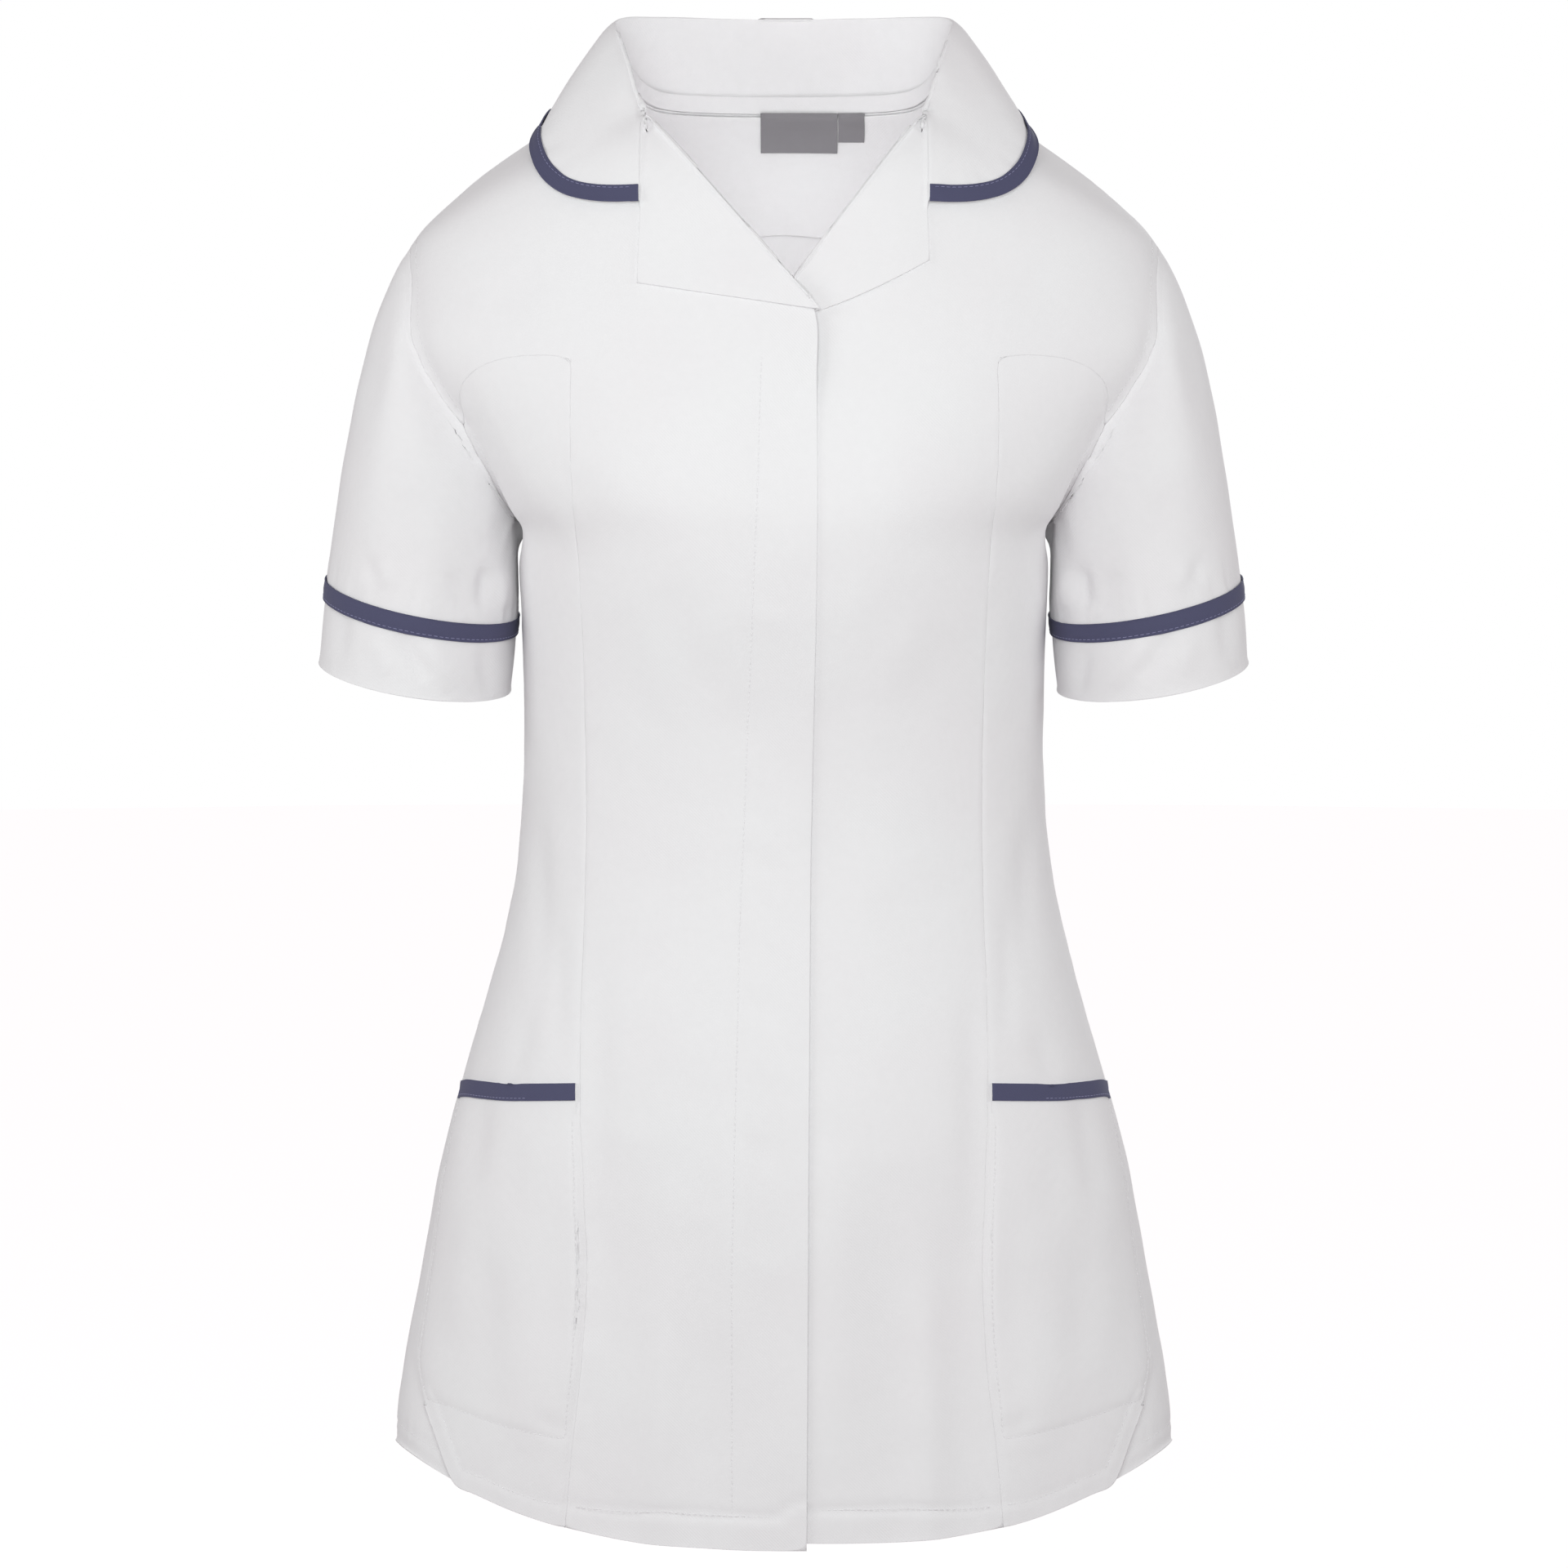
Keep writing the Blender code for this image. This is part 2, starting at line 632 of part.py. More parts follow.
def back_grid():
    """The left half of the back, each row from the side seam, armhole or shoulder to the centre back."""
    rows = [[back_place(c / BACK_COLUMNS, level) for c in range(BACK_COLUMNS + 1)] for level in LOW_LEVELS]
    outers = BACK_RING[ARMHOLE_STEPS - 1::-1] + [(90, level) for level in SHOULDER_LEVELS + NECK_LEVELS]
    inners = [(180, level) for level in CENTRE_BACK_LEVELS]
    inners += [(back_angle(x, height), height) for x, height in BACK_NECKLINE]
    for inner, outer in zip(inners, outers):
        rows.append(between(inner, outer, BACK_COLUMNS))

    def lift(point):
        angle = front_angle(point[0], point[2])
        edge = back_side_edge(point[2])
        return -vent["setback"](point[2]) * ramp(angle, edge + VENT_REACH, edge) if point[1] < 0 else 0

    return body_grid([row[::-1] for row in rows], lift)


def lapel_sheet(front):
    """A lapel: it rolls round from the edge of its front, then lies on the front out to its own free edge."""
    setback = under_setback(front)
    corner = np.array(front["lapel_corner"], float)
    top = np.array(ROLL_TOP) - (ROLL_TOP_GAP, 0)
    start = np.array(front["edge_top"], float)
    points, normals = [], []
    for share in (*ROLL_STEPS[:-1], LAPEL_END):
        inner = start + (top - start) * share
        outer = corner + (top - corner) * share
        span = np.linalg.norm(outer - inner)
        direction = (outer - inner) / span
        edge, out = on_front(inner, 0, setback)
        inward = on_front(inner + direction, 0, setback)[0] - edge
        inward = unit(inward - out * (inward @ out))
        row, row_normals = [], []
        for turn in np.radians(ROLL_TURNS):
            normal = out * math.sin(turn) - inward * math.cos(turn)
            row.append(edge - inward * GAP / 2 + out * (ROLL_RADIUS - CLOTH) + normal * ROLL_RADIUS)
            row_normals.append(normal)
        for step in LAPEL_STEPS:
            sag = front["sag"] * 4 * step * (1 - step) * (1 - share) ** 3
            roll = (1 - ramp(step, 0, LAPEL_ROLL_REACH)) * ramp(span, *LAPEL_NARROW)
            lift = CLOTH + LAPEL_EASE + max(2 * ROLL_RADIUS - 2 * CLOTH - LAPEL_EASE, 0) * roll
            point, normal = on_front(inner + direction * span * step - (0, sag), lift, setback)
            row.append(point)
            row_normals.append(normal)
        points.append(row)
        normals.append(row_normals)
    return grid_sheet(points, np.array(normals))


def on_front(place, lift, setback):
    """The point this far off a front at a place (x, height), and its normal."""
    angle = front_angle(*place)
    normal = body_normal(angle, place[1])
    point = body_point(angle, place[1])
    return point + normal * (lift + setback(point)), normal


def neckline_stations():
    """Points of the neckline from the centre back to the top of the lapel, at the collar's stations."""
    places = [(back_angle(x, height), height) for x, height in BACK_NECKLINE]
    places += [(90, NECK_POINT[1])]
    places += [(front_angle(x, height), height) for x, height in FRONT_NECKLINE[::-1]]
    points = np.array([body_point(*place) for place in places])
    run = np.concatenate([[0], np.cumsum(np.linalg.norm(np.diff(points, axis=0), axis=1))])
    alongs = np.array(COLLAR_STATIONS)
    return np.stack([np.interp(alongs, run / run[-1], column) for column in points.T], axis=1), alongs


def clear_of_body(point, lift):
    """The point, or one on the body surface lifted off it, where the point would lie under that."""
    if abs(point[0]) >= body["half_width"](point[2]):
        return point
    angle = front_angle(point[0], point[2]) if point[1] < 0 else back_angle(point[0], point[2])
    on_body = body_point(angle, point[2]) + body_normal(angle, point[2]) * lift
    return on_body if abs(on_body[1]) > abs(point[1]) else point


def collar_section(base, along):
    """Points from the neck seam up the inside of the stand, over the fold and down the fall to its edge."""
    fold = np.array([collar[name](along) for name in ("fold_x", "fold_y", "fold_height")])
    edge_place = (collar["edge_angle"](along), collar["edge_height"](along))
    lift = COLLAR_CLOTH + COLLAR_EASE
    edge = body_point(*edge_place) + body_normal(*edge_place) * lift
    outward = unit(np.array([edge[0] - fold[0], edge[1] - fold[1], 0]))
    up = np.array([0, 0, 1])
    foot = base + up * GAP
    stand = fold - foot
    height = np.linalg.norm(stand)
    steps = (0, min(NECK_TAPE_HEIGHT / height, NECK_TAPE_MOST), *STAND_STEPS)
    section = [foot + stand * step for step in steps] + [fold + outward * FOLD_WIDTH - up * FOLD_DROP]
    shoulder = section[-1]
    for step in FALL_STEPS:
        point = shoulder + (edge - shoulder) * step
        point = point + (outward + up) * FALL_BULGE * math.sin(math.pi * step)
        section.append(clear_of_body(point, lift))
    above = edge + unit(section[-1] - edge) * TAPE_WIDTH
    section += [clear_of_body(above, lift), edge]
    return section


def collar_points():
    stations, alongs = neckline_stations()
    return np.array([collar_section(base, along) for base, along in zip(stations, alongs)])


def both_halves(points, normals):
    """A sheet over the left half of a piece and its mirror image."""
    half = grid_sheet(points, normals)
    return joined(half, turned_over(half))


def squared_up(normals):
    """Normals of the left half with those at the centre back turned straight."""
    normals = normals.copy()
    normals[0, :, 0] = 0
    return normals / np.linalg.norm(normals, axis=2, keepdims=True)


def facing_round(sheet):
    """The sheet with its faces turned to match its normals."""
    return Sheet(sheet.points, sheet.normals, [quad[::-1] for quad in sheet.quads])


def build_body():
    for name, front in FRONTS.items():
        make_wall(f"front_{name}", front_sheet(front), side=front["side"])
        make_wall(f"side_front_{name}", grid_sheet(*side_front_grid()), side=front["side"])
        make_wall(f"lapel_{name}", lapel_sheet(front), side=front["side"])
    make_wall("back", both_halves(*back_grid()))


def build_collar():
    points = collar_points()
    normals = squared_up(-grid_normals(points))
    make_wall("collar", facing_round(both_halves(points, normals)), thickness=COLLAR_CLOTH, seam=COLLAR_SEAM)
    edge, above = points[:, -1], points[:, -2]
    lifted = normals[:, -1:] * (TRIM + GAP)
    across = np.stack([above, (above + edge) / 2, edge + (edge - above) * TRIM_OVERHANG], axis=1) + lifted
    trim = facing_round(both_halves(across, np.repeat(normals[:, -1:], 3, axis=1)))
    make_wall("collar_trim", trim, SLATE_TAPE, TRIM, seam=0)


def sleeve_ring(ring, turn):
    """A point of a tilted oval ring; turn is 0 at its outer side and 90 at its front."""
    rise, drop = math.radians(ring["rise"]), math.radians(ring["drop"])
    outward = np.array([math.cos(rise), 0, math.sin(rise)]) * ring["half_width"]
    forward = np.array([0, -math.cos(drop), -math.sin(drop)]) * ring["half_depth"]
    return np.array(ring["centre"]) + outward * math.cos(turn) + forward * math.sin(turn)


def below_tape(turn, drop):
    """A point of the sleeve or cuff this far below the top of the tape."""
    start, end = sleeve_ring(TAPE_RING, turn), sleeve_ring(CUFF_RING, turn)
    return start + (end - start) * drop / CUFF_DEPTH


def sleeve_point(base, turn, share):
    """A point of the sleeve between its seam in the armhole, at share 0, and the top of the tape."""
    end = sleeve_ring(TAPE_RING, turn)
    length = np.linalg.norm(end - base)
    outer = math.cos(turn)
    (out, down), more = SLEEVE_LEAVE
    handle = length * (SLEEVE_LEAVE_HANDLE[0] + SLEEVE_LEAVE_HANDLE[1] * max(outer, 0))
    leave = unit(np.array([out + more * outer, -SLEEVE_LEAVE_LEAN * math.sin(turn), down])) * handle
    (out, down), more = SLEEVE_ARRIVE
    arrive = unit(np.array([out + more * outer, 0, down])) * length * SLEEVE_ARRIVE_HANDLE
    weights = ((1 - share) ** 3, 3 * share * (1 - share) ** 2, 3 * share**2 * (1 - share), share**3)
    return sum(w * p for w, p in zip(weights, (base, base + leave, end - arrive, end)))


def build_sleeve(name, side):
    places = FRONT_RING + BACK_RING[-2:0:-1]
    turns = np.arange(len(places)) * math.tau / len(places)
    bases = [body_point(*place) + (SLEEVE_OFF_BODY, 0, 0) for place in places]
    rows = [[sleeve_point(base, turn, share) for base, turn in zip(bases, turns)] for share in SLEEVE_STEPS]
    rows.append([below_tape(turn, TAPE_WIDTH / 2 - GAP / 2) for turn in turns])
    rows = np.array(rows)
    normals = grid_normals(rows, ring=True)
    for i, place in enumerate(places):
        outward = body_normal(*place)
        share = ramp(float(normals[0, i] @ outward), 0, SLEEVE_SEAM_TURN)
        normals[0, i] = unit(normals[0, i] * (1 - share) + outward * share)
    make_wall(f"sleeve_{name}", grid_sheet(rows, normals, ring=True), seam=0, side=side)

    def band(drops, lift, thickness, colour, title):
        ring = np.array([[below_tape(turn, drop) for turn in turns] for drop in drops])
        out = grid_normals(ring, ring=True)
        make_wall(title, grid_sheet(ring + out * lift, out, ring=True), colour, thickness, seam=0, side=side)

    cuff_drops = np.linspace(TAPE_WIDTH / 2 + GAP / 2, CUFF_DEPTH, CUFF_ROWS)
    band(cuff_drops, 0, CLOTH, WHITE_COTTON, f"cuff_{name}")
    band((0, TAPE_WIDTH), TRIM + GAP, TRIM, SLATE_TAPE, f"sleeve_tape_{name}")


def build_pocket(name, side):
    """A pocket from the princess seam to just inside the side edge, and the tape along its mouth."""
    first, last = (share * SIDE_COLUMNS for share in POCKET_SPAN)
    columns = [first, *range(1, SIDE_COLUMNS), last]
    low_row, high_row = level_row(POCKET_BOTTOM), int(level_row(POCKET_MOUTH[-1][1]))
    mouths = [level_row(pocket_mouth(column / SIDE_COLUMNS)) for column in columns]
    rows = [[(row, column) for column in columns] for row in range(int(low_row), high_row + 1)]
    rows.append(list(zip(mouths, columns)))

    def lift(row, column):
        gape = math.sin(math.pi * (column - first) / (last - first)) * ramp(row, high_row - 1, high_row + 1)
        return CLOTH + GAP + POCKET_GAPE * gape

    pocket = laid_on(side_front_grid(), rows, lift)
    make_wall(f"pocket_{name}", grid_sheet(*pocket), side=side, seam=0)

    top = len(rows) - 1
    row_height = LOW_LEVELS[high_row + 1] - LOW_LEVELS[high_row]
    drops = [min(TAPE_WIDTH / ((mouth - high_row) * row_height), 1) for mouth in mouths]
    tape_rows = [[(top - drop, i) for i, drop in enumerate(drops)], [(top, i) for i in range(len(drops))]]
    tape = laid_on(pocket, tape_rows, lambda row, column: TRIM + GAP)
    make_wall(f"pocket_tape_{name}", grid_sheet(*tape), SLATE_TAPE, TRIM, side=side, seam=0)


def level_row(level):
    """Where a height lies among the rows below the armpit."""
    i = max(i for i, low in enumerate(LOW_LEVELS) if low <= level)
    return i + (level - LOW_LEVELS[i]) / (LOW_LEVELS[i + 1] - LOW_LEVELS[i])


def build_inside_neck():
    points = collar_points()
    normals = squared_up(-grid_normals(points))
    keep = neckline_stations()[1] <= NECK_TAPE_END
    points, normals = points[keep, :2], normals[keep, :2]
    tape = facing_round(both_halves(points + normals * (TRIM + GAP), normals))
    make_wall("neck_tape", tape, thickness=TRIM, seam=0)

    panel = back_grid()
    last_row = len(panel[0]) - 1
    rows = []
    for row in range(FACING_ROWS[0], last_row + 1):
        reach = float(np.interp(row, FACING_ROWS, FACING_REACH))
        row = min(row, last_row - FACING_BELOW_NECK)
        columns = np.linspace(BACK_COLUMNS - reach, BACK_COLUMNS, FACING_COLUMNS + 1)
        rows.append([(row, column) for column in columns])
    facing = laid_on(panel, rows, lambda row, column: -CLOTH - GAP)
    make_wall("back_neck_facing", both_halves(*facing), thickness=TRIM)

    for name, (left, right, high, low) in LABELS.items():
        heights = np.linspace(low, high, 3)
        columns = np.linspace(right, left, 5)
        places = [[(back_angle(x, height), height) for x in columns] for height in heights]
        sheet = body_sheet(places, lambda point: -(CLOTH + TRIM + 2 * GAP + LABEL_SLACK))
        make_wall(name, sheet, GREY_LABEL, TRIM, seam=0, roughness=0.7)


def clear_scene():
    for thing in list(bpy.data.objects):
        bpy.data.objects.remove(thing, do_unlink=True)


clear_scene()
build_body()
build_collar()
build_inside_neck()
for name, front in FRONTS.items():
    build_sleeve(name, front["side"])
    build_pocket(name, front["side"])
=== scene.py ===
import math

import bmesh
import bpy
import numpy as np
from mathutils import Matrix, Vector
from mathutils.bvhtree import BVHTree
from mathutils.kdtree import KDTree


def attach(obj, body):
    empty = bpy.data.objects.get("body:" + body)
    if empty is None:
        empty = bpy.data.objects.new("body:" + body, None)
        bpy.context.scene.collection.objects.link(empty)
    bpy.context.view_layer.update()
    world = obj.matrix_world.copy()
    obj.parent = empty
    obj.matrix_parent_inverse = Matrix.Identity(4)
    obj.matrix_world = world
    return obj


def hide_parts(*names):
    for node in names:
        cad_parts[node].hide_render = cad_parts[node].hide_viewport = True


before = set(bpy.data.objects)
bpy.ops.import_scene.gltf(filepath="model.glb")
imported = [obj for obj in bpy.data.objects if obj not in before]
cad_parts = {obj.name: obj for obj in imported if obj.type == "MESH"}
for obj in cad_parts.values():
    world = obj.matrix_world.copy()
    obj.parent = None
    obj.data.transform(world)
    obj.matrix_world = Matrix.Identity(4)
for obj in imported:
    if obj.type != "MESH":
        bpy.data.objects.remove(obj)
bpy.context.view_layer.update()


# The camera. The photograph is taken from straight in front with a long lens,
# about three metres away and a little above the middle of the tunic.
CAMERA_DISTANCE = 3.0
CAMERA_RISE = math.radians(5.0)
PICTURE_WIDTH = 0.8064          # what the picture spans at the tunic
PICTURE_MIDDLE = Vector((0.0, 0.0, -0.359))

lens = bpy.data.cameras.new("camera")
lens.sensor_width = 36.0
lens.lens = 36.0 * CAMERA_DISTANCE / PICTURE_WIDTH
camera = bpy.data.objects.new("camera", lens)
bpy.context.scene.collection.objects.link(camera)
camera.location = PICTURE_MIDDLE + CAMERA_DISTANCE * Vector((0.0, -math.cos(CAMERA_RISE), math.sin(CAMERA_RISE)))
camera.rotation_euler = (math.radians(90.0) - CAMERA_RISE, 0.0, 0.0)
bpy.context.scene.camera = camera
bpy.context.scene.view_settings.view_transform = "Standard"


# The studio: a white paper floor and backdrop, and even light from all round.
# Soft lamps in front, at both sides and behind let cloth darken where it turns away.
def linear(colour):
    """Turns an sRGB hex colour into the linear values that a shader takes."""
    shares = [int(colour[i:i + 2], 16) / 255 for i in (1, 3, 5)]
    return [c / 12.92 if c <= 0.04045 else ((c + 0.055) / 1.055) ** 2.4 for c in shares] + [1.0]


def add_node(tree, kind, settings, links=None):
    """Adds a node. Settings are its own options or its sockets' values, and links join its sockets to outputs."""
    node = tree.nodes.new(kind)
    for name, value in settings.items():
        if isinstance(name, int) or name in node.inputs:
            node.inputs[name].default_value = value
        else:
            setattr(node, name, value)
    for name, output in (links or {}).items():
        tree.links.new(output, node.inputs[name])
    return node


def new_material(name):
    """An empty node material and its tree."""
    material = bpy.data.materials.new(name)
    material.use_nodes = True
    material.node_tree.nodes.clear()
    return material, material.node_tree


FLOOR_DROP = -1.45
STUDIO_RADIUS = 12.0

# Matt paper, bright enough that the camera sees an even pale floor.
paper, tree = new_material("white_studio_paper")
matt = add_node(tree, "ShaderNodeBsdfPrincipled",
                {"Base Color": linear("#F4F4F4"), "Roughness": 0.9,
                 "Emission Color": linear("#FFFFFF"), "Emission Strength": 0.62})
add_node(tree, "ShaderNodeOutputMaterial", {}, {"Surface": matt.outputs["BSDF"]})

bpy.ops.mesh.primitive_circle_add(vertices=96, radius=STUDIO_RADIUS, fill_type="NGON", location=(0, 0, FLOOR_DROP))
floor = bpy.context.object
floor.name = "studio_floor"
floor.data.materials.append(paper)
floor.visible_diffuse = False

# Paper lit from behind: plain white, with no shade on it.
lit_paper, tree = new_material("lit_white_backdrop")
glow = add_node(tree, "ShaderNodeEmission", {"Color": linear("#FFFFFF"), "Strength": 1.0})
add_node(tree, "ShaderNodeOutputMaterial", {}, {"Surface": glow.outputs["Emission"]})
bpy.ops.mesh.primitive_uv_sphere_add(segments=64, ring_count=32, radius=STUDIO_RADIUS)
backdrop = bpy.context.object
backdrop.name = "studio_backdrop"
backdrop.data.materials.append(lit_paper)
backdrop.visible_diffuse = False
backdrop.visible_glossy = False
backdrop.visible_shadow = False

studio = bpy.data.worlds.new("studio_light")
studio.use_nodes = True
background = studio.node_tree.nodes["Background"]
background.inputs["Color"].default_value = linear("#FFF8FA")
background.inputs["Strength"].default_value = 0.42
bpy.context.scene.world = studio


LAMP_COLOUR = "#F8FFFD"


def add_lamp(name, place, aim, size, power):
    """A soft square lamp that lights one point and isn't seen itself."""
    data = bpy.data.lights.new(name, "AREA")
    data.size = size
    data.energy = power
    data.color = linear(LAMP_COLOUR)[:3]
    lamp = bpy.data.objects.new(name, data)
    bpy.context.scene.collection.objects.link(lamp)
    lamp.location = place
    lamp.rotation_euler = (Vector(aim) - Vector(place)).to_track_quat("-Z", "Y").to_euler()
    lamp.visible_camera = False


add_lamp("front_lamp", place=(-0.06, -1.7, 0.12), aim=(0, 0, -0.22), size=0.7, power=11.7)
add_lamp("left_lamp", place=(-2.0, -0.9, 0.2), aim=(0, 0, -0.2), size=1.0, power=10.4)
add_lamp("right_lamp", place=(2.0, -0.9, 0.2), aim=(0, 0, -0.2), size=1.0, power=8.6)
add_lamp("rear_lamp", place=(0.6, 2.6, 0.3), aim=(0, 0, -0.35), size=1.4, power=31.0)

# One small lamp inside the tunic lights the inside of its neck, as for a catalogue picture.
data = bpy.data.lights.new("neck_lamp", "POINT")
data.energy = 0.17
data.shadow_soft_size = 0.03
neck_lamp = bpy.data.objects.new("neck_lamp", data)
neck_lamp.location = (0.0, -0.03, -0.15)
neck_lamp.visible_camera = False
bpy.context.scene.collection.objects.link(neck_lamp)


# The centre fronts: two long panels of white workwear cloth, 65 percent polyester
# and 35 cotton, cut from shoulder to hem. The wearer's right one laps over the
# left, and its doubled edge hides the press studs.
MM = 0.001
CLOTH_WALL = 1.2 * MM           # the CAD's wall for one layer of cloth
CLOTH_THICKNESS = 0.7 * MM      # how thick it is shown
LAID_ON = ("pocket", "tape", "trim", "label", "tab", "facing")      # these lie on others, not edge to edge

corners, walls, owners = [], [], []
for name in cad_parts:
    if any(word in name for word in LAID_ON):
        continue
    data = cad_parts[name].data
    first = len(corners)
    corners += [v.co.copy() for v in data.vertices]
    walls += [[first + i for i in polygon.vertices] for polygon in data.polygons]
    owners += [name] * len(data.polygons)
all_walls = BVHTree.FromPolygons(corners, walls)


def face_islands(mesh):
    """Groups of faces that join along edges."""
    left = set(mesh.faces)
    islands = []
    while left:
        first = left.pop()
        island = [first]
        for face in island:
            for edge in face.edges:
                for other in edge.link_faces:
                    if other in left:
                        left.remove(other)
                        island.append(other)
        islands.append(island)
    return islands


def away_from_middle(point):
    """Out from the wearer's trunk."""
    return Vector((point.x, point.y, 0.0)).normalized()


def uneven(along, spacing, seed):
    """A smooth wave from -1 to 1 along a line, uneven in height, with a turn about every spacing."""
    turns = 512
    heights = np.random.default_rng(seed).uniform(-1, 1, turns)
    place = along / spacing + turns / 2
    low = np.floor(place).astype(int)
    share = place - low
    share = share * share * (3 - 2 * share)
    return heights[low % turns] * (1 - share) + heights[(low + 1) % turns] * share


def slack(points, length, seed):
    """Low uneven swells through space, about one per length, from roughly -1 to 1."""
    chance = np.random.default_rng(seed)
    total = np.zeros(len(points))
    waves = 9
    for _ in range(waves):
        way = chance.normal(size=3)
        way *= 2 * math.pi / (length * chance.uniform(0.7, 1.6) * np.linalg.norm(way))
        total += np.sin(points @ way + chance.uniform(0, 2 * math.pi))
    return total / math.sqrt(waves)


def point_tree(places):
    """Finds the nearest of many points."""
    tree = KDTree(len(places))
    for i, place in enumerate(places):
        tree.insert(place, i)
    tree.balance()
    return tree


def make_piece(name, points, faces, material):
    """A piece of the tunic, riding on its one body."""
    data = bpy.data.meshes.new(name)
    data.from_pydata(points, [], faces)
    data.materials.append(material)
    data.shade_smooth()
    piece = bpy.data.objects.new(name, data)
    bpy.context.scene.collection.objects.link(piece)
    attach(piece, "root")
    return piece


made_edges = {}                 # the edges of the pieces made so far, by name
MOST_QUADS = 46000              # a piece with more is thinned out a little
SEAM_OPENING = 1.9 * MM         # the CAD's pieces are sewn to each other where they lie this near
SEAM_LAP = 0.22 * MM            # an edge runs this far past the one it is sewn to, and lies a little lower
SEAM_SINK = 0.04 * MM
VENT_TOP = -690 * MM            # below it the back hangs free of the side fronts
ROUND_BELOW = -600 * MM         # the back's corners that are lower and further out than this are cut round
ROUND_BEYOND = 140 * MM
SAME_POINT = 0.02 * MM          # corners of the CAD nearer than this are one corner
SAME_LENGTH = 0.004 * MM        # an edge this near to the wall's thickness runs through the wall
BORDER_PULL = 0.25              # how much of the pull toward the CAD's corners is used just inside a border
EDGE_STEP = 0.5 * MM            # how finely distances from a border are measured


class Cloth:
    """One cut piece of cloth on the form of its CAD wall: a fine open mesh, shaped, then made a thin shell."""

    def __init__(self, name, outward, seams=(), wall=CLOTH_WALL, border=3 * MM, fineness=3):
        """Takes the side of the CAD's wall that faces outward, or the larger side if that is None. A ring of faces
        as wide as the border keeps the cut edge straight, and fineness is how often every face is halved."""
        self.name = name
        self.seams = seams
        mesh = bmesh.new()
        mesh.from_mesh(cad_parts[name].data)
        bmesh.ops.remove_doubles(mesh, verts=mesh.verts, dist=SAME_POINT)
        rim = [f for f in mesh.faces if any(abs(e.calc_length() - wall) < SAME_LENGTH for e in f.edges)]
        bmesh.ops.delete(mesh, geom=rim, context="FACES")
        sides = sorted(face_islands(mesh), key=len)[-2:]
        if outward is None:
            shown = max(sides, key=lambda side: sum(f.calc_area() for f in side))
        else:
            shown = max(sides, key=lambda side: sum(f.normal.dot(outward(f.calc_center_median())) for f in side))
        keep = set(shown)
        bmesh.ops.delete(mesh, geom=[f for f in mesh.faces if f not in keep], context="FACES")
        bmesh.ops.join_triangles(mesh, faces=mesh.faces[:], angle_face_threshold=math.pi,
                                 angle_shape_threshold=math.pi, topology_influence=1.0)
        sharp = mesh.verts.layers.float.new("crease_vert")
        for corner in mesh.verts:
            rounded = name == "back" and corner.co.z < ROUND_BELOW and abs(corner.co.x) > ROUND_BEYOND
            if len(corner.link_edges) == 2 and not rounded:
                corner[sharp] = 1.0
        bmesh.ops.inset_region(mesh, faces=mesh.faces[:], use_boundary=True, use_even_offset=False,
                               thickness=border, depth=0.0)
        for vert in mesh.verts:
            if not vert.is_boundary:
                vert[sharp] = 0.0
        inside = [not v.is_boundary and any(e.other_vert(v).is_boundary for e in v.link_edges) for v in mesh.verts]
        self.subdivide(mesh, fineness, np.where(inside, BORDER_PULL, 1.0))

    def subdivide(self, mesh, fineness, pull):
        """Rounds the facets off, through the CAD's own corners, so that the piece doesn't shrink. The pull is less
        just inside the border, where more would fold the cloth over."""
        coarse = bpy.data.meshes.new(self.name + "_coarse")
        mesh.to_mesh(coarse)
        mesh.free()
        holder = bpy.data.objects.new(self.name + "_coarse", coarse)
        bpy.context.scene.collection.objects.link(holder)
        smooth = holder.modifiers.new("smooth", "SUBSURF")
        smooth.levels = fineness
        smooth.render_levels = fineness
        smooth.boundary_smooth = "PRESERVE_CORNERS"
        aim = np.zeros(len(coarse.vertices) * 3, np.float32)
        coarse.vertices.foreach_get("co", aim)
        aim = aim.reshape(-1, 3)
        shrunk = self.read(holder)[:len(aim)]
        pulled = aim + pull[:, None] * (aim - shrunk)
        coarse.vertices.foreach_set("co", pulled.ravel().astype(np.float32))
        coarse.update()
        self.points = self.read(holder).astype(float)
        self.find_border()
        self.normals = self.read_normals()
        bpy.data.objects.remove(holder)

    def read(self, holder):
        """The subdivided points, and their faces as a table of four corners."""
        graph = bpy.context.evaluated_depsgraph_get()
        graph.update()
        fine = holder.evaluated_get(graph).to_mesh()
        points = np.zeros(len(fine.vertices) * 3, np.float32)
        fine.vertices.foreach_get("co", points)
        quads = np.zeros(len(fine.loops), np.int32)
        fine.loops.foreach_get("vertex_index", quads)
        self.quads = quads.reshape(-1, 4)
        return points.reshape(-1, 3)

    def read_normals(self):
        """Which way the cloth faces at each point."""
        p, q = self.points, self.quads
        across = np.cross(p[q[:, 2]] - p[q[:, 0]], p[q[:, 3]] - p[q[:, 1]])
        total = np.zeros_like(p)
        for corner in range(4):
            for axis in range(3):
                total[:, axis] += np.bincount(q[:, corner], across[:, axis], len(p))
        return total / np.maximum(np.linalg.norm(total, axis=1), 1e-12)[:, None]

    def find_border(self):
        """The edges that only one face has, and which piece each of their points is sewn to."""
        q = self.quads
        pairs = np.vstack([q[:, [k, (k + 1) % 4]] for k in range(4)])
        ordered = np.sort(pairs, axis=1)
        _, first, count = np.unique(ordered, axis=0, return_index=True, return_counts=True)
        self.edges = ordered[first]
        self.border = pairs[first[count == 1]]
        self.sewn_to = {}
        for i in np.unique(self.border):
            near = self.near_walls(i, SEAM_OPENING, self.seams)
            if self.points[i, 2] < VENT_TOP:
                near = [hit for hit in near if "back" not in (self.name, hit[1])]
            self.sewn_to[i] = min(near)[1] if near else ""
            if near:
                self.points[i] = (self.points[i] + np.array(min(near)[2])) / 2

